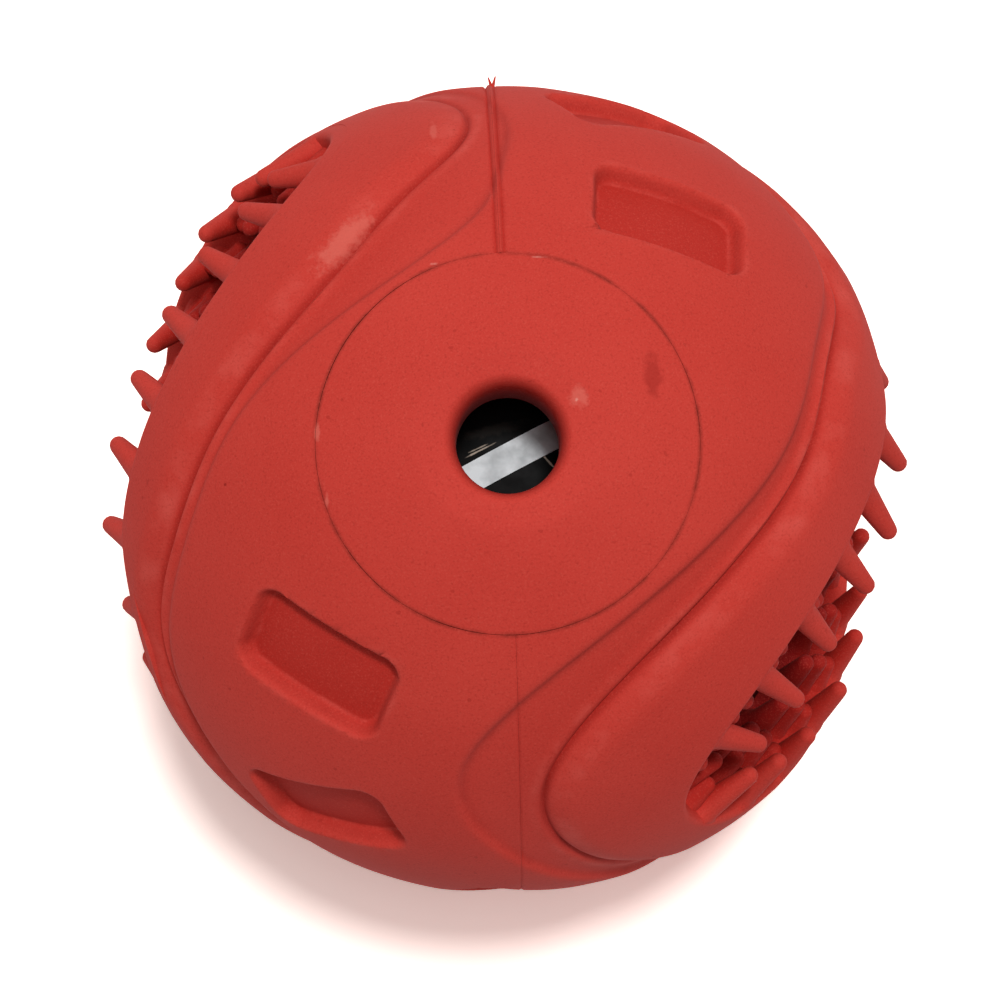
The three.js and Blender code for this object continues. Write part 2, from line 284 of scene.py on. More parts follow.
@dataclass(frozen=True)
class BallForm:
    """The ball's outside as a height over its centre, in millimetres.

    X is the slot axis, Y lies in the parting plane and Z is the feed-hole axis. A direction is given
    by its turn round the slot axis and its angle from it. The left side is laid out like the right one
    and then given a half turn about Z. Its groove and its strip have changes of their own.
    """

    radius: float = 45.0
    cavity: float = 36.5
    edge_mean: float = 40.4
    edge_swells: tuple[Swell, ...] = (
        Swell(20.0, -29.5, 2),
        Swell(5.6, -32.0, 4),
        Swell(1.3, -27.0, 6),
    )
    groove_mean: float = 58.1
    groove_swells: tuple[Swell, ...] = (
        Swell(25.2, -32.0, 2),
        Swell(3.0, -32.3, 4),
        Swell(2.0, 13.3, 6),
    )
    left_shifts: tuple[Shift, ...] = (
        Shift(-3.0, 68.0, 20.0),
        Shift(-3.0, 128.0, 10.0),
        Shift(-7.5, 14.0, 25.0),
    )
    strip: Strip = Strip(4.8, 8.6, 127.0, 10)
    left_strip: Strip = Strip(4.4, 11.5, 121.0, 32)
    tip_calm: float = 0.25
    left_tip_calm: float = 0.6
    calm_turn: float = 158.0
    calm_reach: float = 24.0
    slot_tip: float = 152.0
    lining: float = 2.2
    lip_round: float = 0.7
    lip_crown: float = 0.08
    lip_crown_offset: float = 4.0
    lip_crown_reach: float = 3.0
    slope_run: float = 3.8
    slope_bend: tuple[float, float, float] = (1.6, 0.2, 0.4)
    groove_depth: float = 1.6
    step_depth: float = 1.0
    crease_depth: float = 0.5
    crease_width: float = 0.35
    bead_height: float = 0.62
    bead_offset: float = 1.0
    bead_width: float = 0.6
    nose_turn: float = -32.0
    nose_fade: float = 0.85
    step_width: float = 0.42
    seam: float = 18.8
    seam_round: float = 0.08
    pocket_length: float = 16.9
    pocket_width: float = 10.4
    pocket_corner: float = 2.4
    pocket_draft: float = 0.6
    pocket_depth: float = 1.95
    pocket_ease: float = 0.45
    pocket_facing: float = 0.7
    far_off: float = 50.0
    # Depth below which rubbing, painted highlight and painted shade are kept.
    wear_and_light_depth: float = 3.0
    pockets: tuple[Pocket, ...] = (
        Pocket(53.0, 48.8, 24.0),
        Pocket(69.0, 24.0, 38.0),
        Pocket(90.0, 0.0, -38.0),
        Pocket(226.0, 49.8, 12.5),
        Pocket(240.0, 24.4, 35.5),
        Pocket(270.0, 0.0, -38.0),
    )
    # Paler stripes on lip slopes, beads and pocket rims: rubbing with a painted highlight.
    rubbed_slope_highlight: Streak = Streak(-1.8, 1.15, 1.0, 4)
    rubbed_bead_highlight: Streak = Streak(1.15, 0.45)
    rubbed_rim_highlight: Streak = Streak(0.2, 0.3, 0.7)
    rubbed_foot_highlight: Streak = Streak(-0.75, 0.2, 0.9)
    # Painted shade in the groove's crease, at the band's step and on pocket walls.
    crease_shade: Streak = Streak(0.0, 0.42)
    step_shade: Streak = Streak(-0.35, 0.45, 0.55)
    wall_shade: Streak = Streak(-0.3, 0.25, 0.6)
    parting_line: PartingLine = PartingLine()
    unevenness: Unevenness = Unevenness()

    def edge(self, turn: np.ndarray) -> np.ndarray:
        """Angle to the slot's visible edge."""
        return np.radians(self.edge_mean + sum(swell.at(turn) for swell in self.edge_swells))

    def groove(self, turn: np.ndarray, left: np.ndarray | bool = False) -> np.ndarray:
        """Angle to the groove behind the lip.

        Args:
            turn: Turn round the slot axis.
            left: Whether it is the left side's groove.

        Returns:
            The angle at each turn.
        """
        swells = sum(swell.at(turn) for swell in self.groove_swells)
        moved = sum(shift.at(turn) for shift in self.left_shifts)
        return np.radians(self.groove_mean + swells + moved * left)

    def band(self, turn: np.ndarray, left: np.ndarray | bool = False) -> np.ndarray:
        """Angle to the step that bounds the central band, on the right or the left side."""
        width = np.where(left, self.left_strip.at(turn), self.strip.at(turn))
        return self.groove(turn, left) + np.radians(width)

    def middle(self, turn: np.ndarray, left: bool = False) -> np.ndarray:
        """Angle to the line half-way between the bands' steps, seen from the right or the left side."""
        return (self.band(turn, left) + np.pi - self.band(np.pi - turn, not left)) / 2

    def spread(self, line: Line, turn: np.ndarray) -> np.ndarray:
        """How much longer a path at a constant turn is than the shortest one across a line.

        Args:
            line: Angle to the line at each turn.
            turn: Turn round the slot axis.

        Returns:
            The ratio at each turn, 1 or more.
        """
        step = 0.01
        slope = (line(turn + step) - line(turn - step)) / (2 * step)
        return np.hypot(1.0, slope / np.sin(line(turn)))

    def across(self, line: Line, turn: np.ndarray, length: float) -> np.ndarray:
        """Angle that a length across a line takes up at each turn."""
        return length / self.radius * self.spread(line, turn)

    def distance(self, line: Line, turn: np.ndarray, angle: np.ndarray) -> np.ndarray:
        """Length from a line to a direction, positive away from the slot."""
        return self.radius * (angle - line(turn)) / self.spread(line, turn)

    def cut(self, turn: np.ndarray) -> np.ndarray:
        """Angle at which the shell ends and the lip's lining begins."""
        return self.edge(turn) + self.across(self.edge, turn, self.lining)

    def heading(self, turn: np.ndarray, angle: np.ndarray) -> np.ndarray:
        """Unit direction at a turn round the slot axis and an angle from it."""
        out = np.sin(angle)
        return np.stack([np.cos(angle), out * np.cos(turn), out * np.sin(turn)], axis=-1)

    def folded(self, direction: np.ndarray) -> tuple[np.ndarray, np.ndarray, np.ndarray]:
        """Turn and angle of directions, each seen from the slot on its own side.

        Args:
            direction: Unit directions, one to a row.

        Returns:
            The turn and the angle of each direction, and whether it lies on the left side.
        """
        angle = np.arccos(np.clip(direction[:, 0], -1, 1))
        turn = np.arctan2(direction[:, 2], direction[:, 1])
        left = angle > self.middle(turn)
        return np.where(left, np.pi - turn, turn), np.where(left, np.pi - angle, angle), left

    def relief(self, turn: np.ndarray, angle: np.ndarray, left: np.ndarray) -> np.ndarray:
        """Drop of lip, groove, strip and step below the ball's radius.

        Args:
            turn: Turn round the slot axis, seen from the slot's own side.
            angle: Angle from the slot axis.
            left: Whether the direction lies on the left side.

        Returns:
            The drop in each direction.
        """
        past_edge = self.distance(self.edge, turn, angle)
        past_groove = self.distance(partial(self.groove, left=left), turn, angle)
        past_band = self.distance(partial(self.band, left=left), turn, angle)
        rise = np.clip(-past_groove / self.slope_run, 0, 1)
        first, second, third = self.slope_bend
        lip = self.groove_depth * (1 - (first * rise - second * rise**2 - third * rise**3))
        along = np.clip(past_groove / np.maximum(past_groove - past_band, TINY), 0, 1)
        strip = self.groove_depth + (self.step_depth - self.groove_depth) * along
        drop = np.where(past_groove < 0, lip, strip)
        drop += self.crease_depth * np.exp(-((past_groove / self.crease_width) ** 2))
        fade = 1 - self.nose_fade * np.cos(turn - math.radians(self.nose_turn)) ** 4
        bead = np.exp(-(((past_groove - self.bead_offset) / self.bead_width) ** 2))
        drop -= self.bead_height * fade * bead
        drop *= 0.5 * (1 - np.tanh(past_band / self.step_width))
        near_tip = Shift(1.0, self.calm_turn, self.calm_reach).at(turn)
        drop *= 1 - np.where(left, self.left_tip_calm, self.tip_calm) * near_tip
        crown = np.exp(-(((past_edge - self.lip_crown_offset) / self.lip_crown_reach) ** 2))
        drop -= self.lip_crown * crown * (past_groove < 0)
        return drop + rounded_edge(past_edge, self.lip_round)

    def wear_and_painted_light(self, direction: np.ndarray) -> np.ndarray:
        """How much rubbing, painted highlight and painted shade the rubber gets: slopes, beads and rims get
        paler rubbing with a painted highlight; creases, steps and pocket walls get painted shade.

        Args:
            direction: Unit directions, one to a row.

        Returns:
            A share for each direction, from 1 for rubbing with a painted highlight to -1 for painted shade.
        """
        turn, angle, left = self.folded(direction)
        past_groove = self.distance(partial(self.groove, left=left), turn, angle)
        past_band = self.distance(partial(self.band, left=left), turn, angle)
        reach = self.pocket_reach(direction)
        rubbing_and_highlight = [
            self.rubbed_slope_highlight.at(past_groove),
            self.rubbed_bead_highlight.at(past_groove),
            self.rubbed_rim_highlight.at(reach),
            self.rubbed_foot_highlight.at(reach),
        ]
        # Painted shade in creases, at steps and on pocket walls.
        shade_stripes = [
            self.crease_shade.at(past_groove),
            self.step_shade.at(past_band),
            self.wall_shade.at(reach),
        ]
        return np.max(rubbing_and_highlight, axis=0) - np.max(shade_stripes, axis=0)

    def pocket_frames(self) -> list[np.ndarray]:
        """Axes of all ten pockets.

        Returns:
            Those of the listed ones, and of the upper ones again after a half turn about X.
        """
        frames = []
        for pocket in self.pockets:
            frames.append(pocket.axes())
            if pocket.elevation > 0:
                frames.append(pocket.axes() * np.array([1, -1, -1]))
        return frames

    def pocket_reach(self, direction: np.ndarray) -> np.ndarray:
        """Distance from directions to the nearest pocket's outline, negative inside it.

        Args:
            direction: Unit directions, one to a row.

        Returns:
            One signed distance for each direction.
        """
        nearest = np.full(len(direction), self.far_off)
        half = np.array([self.pocket_length, self.pocket_width]) / 2 - self.pocket_corner
        for out, length, width in self.pocket_frames():
            plan = self.radius * np.stack([direction @ length, direction @ width], axis=-1)
            beyond = np.abs(plan) - half
            gap = np.hypot(*np.maximum(beyond, 0).T) + np.minimum(beyond.max(axis=1), 0)
            gap = np.where(direction @ out > self.pocket_facing, gap - self.pocket_corner, self.far_off)
            nearest = np.minimum(nearest, gap)
        return nearest

    def height(self, direction: np.ndarray) -> np.ndarray:
        """Distance of the finished outside from the ball's centre.

        Args:
            direction: Unit directions, one to a row.

        Returns:
            One distance for each direction.
        """
        turn, angle, left = self.folded(direction)
        depth = self.relief(turn, angle, left)
        reach = self.pocket_reach(direction)
        depth += self.pocket_depth * eased_ramp(-reach, self.pocket_draft, self.pocket_ease)
        outside_seam = self.radius * np.hypot(direction[:, 0], direction[:, 1]) - self.seam
        depth += rounded_edge(outside_seam, self.seam_round)
        ground = self.radius * direction
        run = np.arctan2(direction[:, 2], np.abs(direction[:, 1])) * self.radius
        flash = self.parting_line.at(ground[:, 0], run, direction[:, 1] > 0)
        return self.radius - depth + self.unevenness.at(ground) + flash


FORM = BallForm()


def tube_lattice(rings: int, closed: bool, steps: int, start: float, sweep: float) -> bmesh.types.BMesh:
    """Regular tube about X whose rings are one unit apart, to be laid out into a section's sweep.

    Args:
        rings: Number of rings along X.
        closed: Whether the last ring is joined back to the first.
        steps: Number of steps round X.
        start: Turn of the first section, in degrees.
        sweep: How far the sections go round, in degrees.

    Returns:
        The lattice, in a new bmesh.
    """
    bm = bmesh.new()
    turn = math.radians(start)
    made = [bm.verts.new((k, math.cos(turn), math.sin(turn))) for k in range(rings)]
    edges = [bm.edges.new(pair) for pair in zip(made, made[1:])]
    if closed:
        edges.append(bm.edges.new((made[-1], made[0])))
    bmesh.ops.spin(
        bm,
        geom=[*made, *edges],
        cent=ORIGIN,
        axis=(1, 0, 0),
        angle=math.radians(sweep),
        steps=steps,
        use_merge=sweep >= 360,
    )
    return bm


def laid_out(bm: bmesh.types.BMesh, steps: int, start: float, sweep: float, section: Callable) -> None:
    """Moves a tube lattice's vertices to where a section puts them.

    Args:
        bm: The lattice.
        steps: Number of steps round X.
        start: Turn of the first section, in degrees.
        sweep: How far the sections go round, in degrees.
        section: Gives the angle and the radius of each ring, for an array of turns.
    """
    turns = np.radians(start + sweep * np.arange(steps + 1) / steps)
    angle, radius = section(turns)
    place = np.array([v.co for v in bm.verts])
    ring = np.rint(place[:, 0]).astype(int)
    turn = np.degrees(np.arctan2(place[:, 2], place[:, 1])) - start
    station = np.rint((turn % 360) * steps / sweep).astype(int)
    station = np.where(station > steps, 0, station)
    chosen = turns[station]
    a = angle[station, ring]
    r = radius[station, ring]
    for vert, co in zip(bm.verts, r[:, None] * FORM.heading(chosen, a)):
        vert.co = co


def revolved(profile: list[Span], steps: int, closed: bool = True) -> bmesh.types.BMesh:
    """Solid of revolution about Z.

    Args:
        profile: Radius and height of each point of the section.
        steps: Number of steps round Z.
        closed: Whether the last point is joined back to the first.

    Returns:
        The solid, in a new bmesh.
    """
    bm = bmesh.new()
    made = [bm.verts.new((radius, 0, height)) for radius, height in profile]
    edges = [bm.edges.new(pair) for pair in zip(made, made[1:])]
    if closed:
        edges.append(bm.edges.new((made[-1], made[0])))
    bmesh.ops.spin(
        bm,
        geom=[*made, *edges],
        cent=ORIGIN,
        axis=(0, 0, 1),
        angle=2 * math.pi,
        steps=steps,
        use_merge=True,
    )
    bmesh.ops.remove_doubles(bm, verts=bm.verts, dist=MERGE)
    bmesh.ops.recalc_face_normals(bm, faces=bm.faces)
    return bm


def half_turned(bm: bmesh.types.BMesh, axis: str) -> None:
    """Gives a bmesh a half turn about one of the main axes."""
    bmesh.ops.rotate(bm, verts=bm.verts, cent=ORIGIN, matrix=Matrix.Rotation(math.pi, 3, axis))


def mesh_places(mesh: bpy.types.Mesh) -> np.ndarray:
    """Vertex places of a mesh.

    Args:
        mesh: The mesh.

    Returns:
        The places, one to a row.
    """
    co = np.empty(len(mesh.vertices) * 3, np.float32)
    mesh.vertices.foreach_get("co", co)
    return co.reshape(-1, 3).astype(float)


def raise_outside(bm: bmesh.types.BMesh, form: BallForm) -> None:
    """Moves vertices that lie on the plain sphere out to the finished surface.

    Args:
        bm: The piece.
        form: The ball's outside.
    """
    place = np.array([v.co for v in bm.verts])
    far = np.linalg.norm(place, axis=1)
    picked = np.flatnonzero(far > form.radius - SKIN)
    direction = place[picked] / far[picked, None]
    raised = direction * form.height(direction)[:, None]
    bm.verts.ensure_lookup_table()
    for index, co in zip(picked, raised):
        bm.verts[index].co = co


def new_object(name: str, data: bpy.types.ID) -> bpy.types.Object:
    """Object for a mesh, a camera or a lamp, linked to the scene.

    Args:
        name: Its name.
        data: Its data.

    Returns:
        The new object.
    """
    made = bpy.data.objects.new(name, data)
    bpy.context.scene.collection.objects.link(made)
    return made


def boolean(bm: bmesh.types.BMesh, cutter: bmesh.types.BMesh, operation: str) -> bmesh.types.BMesh:
    """Joins or cuts one solid with another.

    Args:
        bm: The solid to change. It is freed.
        cutter: The other solid. It is freed.
        operation: UNION or DIFFERENCE.

    Returns:
        The result, in a new bmesh.
    """
    pair = []
    for label, part in (("solid", bm), ("tool", cutter)):
        mesh = bpy.data.meshes.new(label)
        part.to_mesh(mesh)
        part.free()
        pair.append(new_object(label, mesh))
    change = pair[0].modifiers.new("change", "BOOLEAN")
    change.operation = operation
    change.solver = "EXACT"
    change.object = pair[1]
    graph = bpy.context.evaluated_depsgraph_get()
    result = bpy.data.meshes.new_from_object(pair[0].evaluated_get(graph))
    for old in pair:
        bpy.data.objects.remove(old)
    made = bmesh.new()
    made.from_mesh(result)
    bpy.data.meshes.remove(result)
    return made


def finished(bm: bmesh.types.BMesh, name: str, crisp: float) -> bpy.types.Object:
    """Turns a bmesh in millimetres into an object in metres.

    Args:
        bm: The piece. It is freed.
        name: Name of the piece.
        crisp: Angle above which an edge stays sharp, in degrees.

    Returns:
        The new object.
    """
    bmesh.ops.scale(bm, vec=(MM, MM, MM), verts=bm.verts)
    for face in bm.faces:
        face.smooth = True
    mesh = bpy.data.meshes.new(name)
    bm.to_mesh(mesh)
    bm.free()
    mesh.set_sharp_from_angle(angle=math.radians(crisp))
    return new_object(name, mesh)


def joined_in(bm: bmesh.types.BMesh, other: bmesh.types.BMesh) -> None:
    """Adds one bmesh to another.

    Args:
        bm: The bmesh that grows.
        other: The bmesh that is added. It is freed.
    """
    mesh = bpy.data.meshes.new("part")
    other.to_mesh(mesh)
    other.free()
    bm.from_mesh(mesh)
    bpy.data.meshes.remove(mesh)


@dataclass(frozen=True)
class Mark:
    """A ragged spot: place and half sizes along X and Y in millimetres, strength, colour and turn in degrees.

    It is at full strength inside the core and gone past the rim, both as shares of its half sizes.
    """

    place: tuple[float, float, float]
    reach: tuple[float, float]
    strength: float
    colour: Colour
    turn: float = 0.0
    core: float = 0.5
    rim: float = 1.1


@dataclass(frozen=True)
class Grain:
    """Noise: lumps to a metre, finer layers and their strength, and the span that is spread to another."""

    scale: float
    detail: float
    roughness: float = 0.5
    given: Span = (0.0, 1.0)
    wanted: Span = (0.0, 1.0)


@dataclass(frozen=True)
class Texture:
    """Fine relief: its grain, its height in millimetres and the share of it that shows."""

    grain: Grain
    height: float
    strength: float


@dataclass
class Nodes:
    """Small helper that lays out the nodes of one material."""

    material: bpy.types.Material
    ragged: Grain = Grain(900.0, 3.0, 0.7, (0.25, 0.75), (-0.45, 0.45))

    def __post_init__(self) -> None:
        """Clears the material and makes its shader and output."""
        self.material.use_nodes = True
        self.tree = self.material.node_tree
        self.tree.nodes.clear()
        self.shader = self.add("ShaderNodeBsdfPrincipled")
        out = self.add("ShaderNodeOutputMaterial")
        self.link(self.shader.outputs["BSDF"], out.inputs["Surface"])
        self.place = self.add("ShaderNodeTexCoord").outputs["Object"]

    def add(self, kind: str, **values: object) -> bpy.types.ShaderNode:
        """Adds a node.

        Args:
            kind: Its kind.
            values: Properties that are set on it.

        Returns:
            The node.
        """
        node = self.tree.nodes.new(kind)
        for key, value in values.items():
            setattr(node, key, value)
        return node

    def link(self, source: bpy.types.NodeSocket, goal: bpy.types.NodeSocket) -> None:
        """Links two sockets."""
        self.tree.links.new(source, goal)

    def noise(self, grain: Grain) -> bpy.types.NodeSocket:
        """Plain noise over the object's own coordinates.

        Args:
            grain: Its grain, of which the two spans aren't used here.

        Returns:
            Its value, from about 0 to 1.
        """
        node = self.add("ShaderNodeTexNoise")
        for key in ("scale", "detail", "roughness"):
            node.inputs[key.capitalize()].default_value = getattr(grain, key)
        self.link(self.place, node.inputs["Vector"])
        return node.outputs["Fac"]

    def patches(self, grain: Grain) -> bpy.types.NodeSocket:
        """Noise that is spread out as its grain says."""
        return self.remap(self.noise(grain), grain.given, grain.wanted)

    def remap(
        self, source: bpy.types.NodeSocket, given: Span, wanted: Span = (0.0, 1.0)
    ) -> bpy.types.NodeSocket:
        """Clamped straight mapping of one span to another.

        Args:
            source: The value to map.
            given: Span of the value.
            wanted: Span that it is mapped to.

        Returns:
            The mapped value.
        """
        node = self.add("ShaderNodeMapRange")
        for key, value in zip(("From Min", "From Max", "To Min", "To Max"), (*given, *wanted)):
            node.inputs[key].default_value = value
        self.link(source, node.inputs["Value"])
        return node.outputs["Result"]

    def mix(self, share: bpy.types.NodeSocket, low: object, high: object) -> bpy.types.NodeSocket:
        """Blend of two colours, each a socket or a plain colour.

        Args:
            share: Share of the second colour.
            low: The first colour.
            high: The second colour.

        Returns:
            The blended colour.
        """
        node = self.add("ShaderNodeMix", data_type="RGBA")
        self.link(share, node.inputs["Factor"])
        for value, socket in ((low, node.inputs[6]), (high, node.inputs[7])):
            if isinstance(value, tuple):
                socket.default_value = (*value, 1.0)
            else:
                self.link(value, socket)
        return node.outputs[2]

    def maths(self, operation: str, first: bpy.types.NodeSocket, second: object) -> bpy.types.NodeSocket:
        """Arithmetic on a socket and a socket or number.

        Args:
            operation: Name of the operation.
            first: The first value.
            second: The second value.

        Returns:
            The result.
        """
        node = self.add("ShaderNodeMath", operation=operation)
        self.link(first, node.inputs[0])
        if isinstance(second, (int, float)):
            node.inputs[1].default_value = second
        else:
            self.link(second, node.inputs[1])
        return node.outputs[0]

    def attribute(self, name: str) -> bpy.types.NodeSocket:
        """A number kept on the mesh's vertices."""
        return self.add("ShaderNodeAttribute", attribute_name=name).outputs["Fac"]

    def bump(self, texture: Texture) -> None:
        """Roughens the surface on top of what is there already.

        Args:
            texture: The relief.
        """
        node = self.add("ShaderNodeBump")
        node.inputs["Distance"].default_value = texture.height * MM
        node.inputs["Strength"].default_value = texture.strength
        self.link(self.noise(texture.grain), node.inputs["Height"])
        normal = self.shader.inputs["Normal"]
        if normal.is_linked:
            self.link(normal.links[0].from_socket, node.inputs["Normal"])
        self.link(node.outputs["Normal"], normal)

    def spotted(self, colour: bpy.types.NodeSocket, marks: tuple[Mark, ...]) -> bpy.types.NodeSocket:
        """Adds ragged marks to a colour.

        Args:
            colour: The colour that they lie on.
            marks: The marks.

        Returns:
            The colour with its marks.
        """
        ragged = self.patches(self.ragged)
        for mark in marks:
            x, y, z = (value * MM for value in mark.place)
            wide, tall = (value * MM for value in mark.reach)
            centred = self.add("ShaderNodeMapping", vector_type="TEXTURE")
            centred.inputs["Location"].default_value = (x, y, z)
            centred.inputs["Rotation"].default_value = (0, 0, math.radians(mark.turn))
            centred.inputs["Scale"].default_value = (wide, tall, max(wide, tall))
            self.link(self.place, centred.inputs["Vector"])
            off = self.add("ShaderNodeVectorMath", operation="LENGTH")
            self.link(centred.outputs["Vector"], off.inputs[0])
            edge = self.maths("ADD", off.outputs["Value"], ragged)
            share = self.remap(edge, (mark.core, mark.rim), (mark.strength, 0.0))
            colour = self.mix(share, colour, mark.colour)
        return colour

    def set(self, **values: object) -> None:
        """Sets plain values on the shader, by socket name with underscores."""
        for key, value in values.items():
            self.shader.inputs[key.replace("_", " ")].default_value = value


@dataclass(frozen=True)
class RubberFinish:
    """Matt red rubber with a dusty grain, with painted shade deepening in its hollows, creases and bores, and
    paler rubbing that also paints highlights.
    """

    name: str = "red_rubber_moulded"
    open_colour: Colour = (0.545, 0.040, 0.028)
    warm_colour: Colour = (0.580, 0.048, 0.034)
    # Painted shade: the next two colours darken the rubber the deeper it lies, in pockets, grooves, slots and
    # bores.
    hollow_shade_colour: Colour = (0.450, 0.020, 0.013)
    deep_shade_colour: Colour = (0.240, 0.004, 0.004)
    # Paler rubbing, which also paints highlights on slopes, beads and rims.
    worn_highlight_colour: Colour = (0.635, 0.080, 0.061)
    # Painted shade for creases, steps and pocket walls.
    crease_shade_colour: Colour = (0.300, 0.014, 0.010)
    dust_colour: Colour = (0.640, 0.085, 0.060)
    dirt_colour: Colour = (0.330, 0.018, 0.012)
    scuff_colour: Colour = (0.700, 0.160, 0.120)
    fleck_colour: Colour = (0.750, 0.330, 0.270)
    seam_colour: Colour = (0.250, 0.022, 0.014)
    roughness: float = 0.74
    specular: float = 0.12
    bloom: float = 0.015
    bloom_roughness: float = 0.5
    bloom_tint: Colour = (1.0, 0.5, 0.42)
    # Depths over which the painted shade deepens.
    hollow_shade_depths: Span = (1.0, 2.3)
    deep_shade_depths: Span = (2.4, 7.0)
    # Patchy strength of the painted shade in creases.
    shade_shares: Span = (0.35, 0.85)
    seam_reach: Span = (0.1, 0.36)
    clouds: Grain = Grain(55.0, 3.0, 0.5, (0.3, 0.7))
    wear_and_light_patches: Grain = Grain(190.0, 3.0, 0.6, (0.44, 0.7), (0.0, 0.85))
    seam_patches: Grain = Grain(330.0, 3.0, 0.6, (0.35, 0.62), (0.1, 0.75))
    dust: Grain = Grain(5200.0, 1.0, 0.5, (0.52, 0.8), (0.0, 0.42))
    dirt: Grain = Grain(4300.0, 1.0, 0.5, (0.52, 0.8), (0.0, 0.42))
    specks: Grain = Grain(1150.0, 0.0, 0.5, (0.85, 0.88), (0.0, 0.4))
    textures: tuple[Texture, ...] = (
        Texture(Grain(420.0, 4.0, 0.6), 0.12, 0.35),
        Texture(Grain(2600.0, 3.0, 0.6), 0.04, 0.5),
    )

    def marks(self) -> tuple[Mark, ...]:
        """Small marks of use on the upper half.

        Returns:
            Smudges, scuffs, flecks and specks of dirt.
        """
        return (
            Mark((14.3, 5.9, 42.3), (1.1, 2.5), 0.55, self.dirt_colour),
            Mark((7.0, 3.8, 43.9), (1.0, 1.1), 0.45, self.scuff_colour),
            Mark((6.8, 3.5, 43.9), (0.24, 0.24), 0.9, self.fleck_colour),
            Mark((0.7, -18.5, 40.6), (0.35, 0.3), 0.9, self.seam_colour),
            Mark((-25.8, 9.5, 35.1), (0.22, 0.25), 0.7, self.fleck_colour),
            Mark((-28.2, -2.1, 34.5), (0.22, 0.25), 0.7, self.fleck_colour),
            Mark((-6.2, 34.6, 27.5), (0.4, 1.9), 0.35, self.scuff_colour),
            Mark((-18.5, 1.8, 40.6), (0.3, 1.1), 0.5, self.scuff_colour),
            Mark((-17.8, -4.9, 40.6), (0.2, 0.9), 0.5, self.scuff_colour),
            Mark((-15.4, 22.0, 35.6), (1.6, 4.4), 0.5, self.scuff_colour, -42.0),
            Mark((-25.8, 9.5, 35.6), (0.22, 0.26), 1.0, self.dirt_colour),
            Mark((-28.2, -2.3, 35.0), (0.24, 0.2), 1.0, self.dirt_colour),
            Mark((-6.4, 18.0, 40.3), (0.5, 0.2), 0.55, self.fleck_colour),
            Mark((3.6, 18.2, 40.5), (0.9, 0.16), 0.5, self.fleck_colour),
        )

    def seam_dirt(self, nodes: Nodes) -> bpy.types.NodeSocket:
        """Brown dirt along the feed discs' seams, by the distance from the feed-hole axis.

        Args:
            nodes: The material's nodes.

        Returns:
            The dirt's share.
        """
        flat = nodes.add("ShaderNodeVectorMath", operation="MULTIPLY")
        nodes.link(nodes.place, flat.inputs[0])
        flat.inputs[1].default_value = (1, 1, 0)
        far = nodes.add("ShaderNodeVectorMath", operation="LENGTH")
        nodes.link(flat.outputs[0], far.inputs[0])
        off = nodes.maths("SUBTRACT", far.outputs["Value"], FORM.seam * MM)
        line = nodes.remap(
            nodes.maths("ABSOLUTE", off, 0.0), tuple(value * MM for value in self.seam_reach), (1.0, 0.0)
        )
        return nodes.maths("MULTIPLY", line, nodes.patches(self.seam_patches))

    def material(self) -> bpy.types.Material:
        """Builds the rubber's material.

        Returns:
            The new material.
        """
        nodes = Nodes(bpy.data.materials.new(self.name))
        depth = nodes.attribute("hollow")
        wear_and_painted_light = nodes.attribute("wear_and_painted_light")
        patchy = nodes.patches(self.wear_and_light_patches)
        shade_patchiness = nodes.remap(patchy, (0.0, 1.0), self.shade_shares)
        layers = (
            # Painted shade, darker with depth.
            (nodes.remap(depth, self.hollow_shade_depths), self.hollow_shade_colour),
            (nodes.remap(depth, self.deep_shade_depths), self.deep_shade_colour),
            # Rubbing with a painted highlight, in patches.
            (nodes.maths("MULTIPLY", nodes.remap(wear_and_painted_light, (0.0, 1.0)), patchy), self.worn_highlight_colour),
            # Painted shade in creases, steps and pocket walls, in patches.
            (nodes.maths("MULTIPLY", nodes.remap(wear_and_painted_light, (0.0, -1.0)), shade_patchiness), self.crease_shade_colour),
            (self.seam_dirt(nodes), self.seam_colour),
            (nodes.patches(self.dust), self.dust_colour),
            (nodes.patches(self.dirt), self.dirt_colour),
            (nodes.patches(self.specks), self.dirt_colour),
        )
        colour = nodes.mix(nodes.patches(self.clouds), self.open_colour, self.warm_colour)
        for share, over in layers:
            colour = nodes.mix(share, colour, over)
        nodes.link(nodes.spotted(colour, self.marks()), nodes.shader.inputs["Base Color"])
        nodes.set(
            Roughness=self.roughness,
            Specular_IOR_Level=self.specular,
            Sheen_Weight=self.bloom,
            Sheen_Roughness=self.bloom_roughness,
            Sheen_Tint=(*self.bloom_tint, 1.0),
        )
        for texture in self.textures:
            nodes.bump(texture)
        return nodes.material


@dataclass(frozen=True)
class PlasticFinish:
    """Smooth moulded plastic, clouded between two colours."""

    name: str
    low: Colour
    high: Colour
    specular: float
    clouds: Grain
    marks: tuple[Mark, ...] = ()
    gloss: Grain = Grain(700.0, 2.0, 0.5, (0.3, 0.7), (0.44, 0.58))
    texture: Texture = Texture(Grain(1500.0, 2.0), 0.03, 0.2)

    def material(self) -> bpy.types.Material:
        """Builds the plastic's material.

        Returns:
            The new material.
        """
        nodes = Nodes(bpy.data.materials.new(self.name))
        colour = nodes.mix(nodes.patches(self.clouds), self.low, self.high)
        nodes.link(nodes.spotted(colour, self.marks), nodes.shader.inputs["Base Color"])
        nodes.set(Specular_IOR_Level=self.specular)
        nodes.link(nodes.patches(self.gloss), nodes.shader.inputs["Roughness"])
        nodes.bump(self.texture)
        return nodes.material


# Painted glints: thin pale lines on the black inner ball stand in for glints on its edges.
GLINT_COLOUR: Colour = (0.55, 0.45, 0.36)
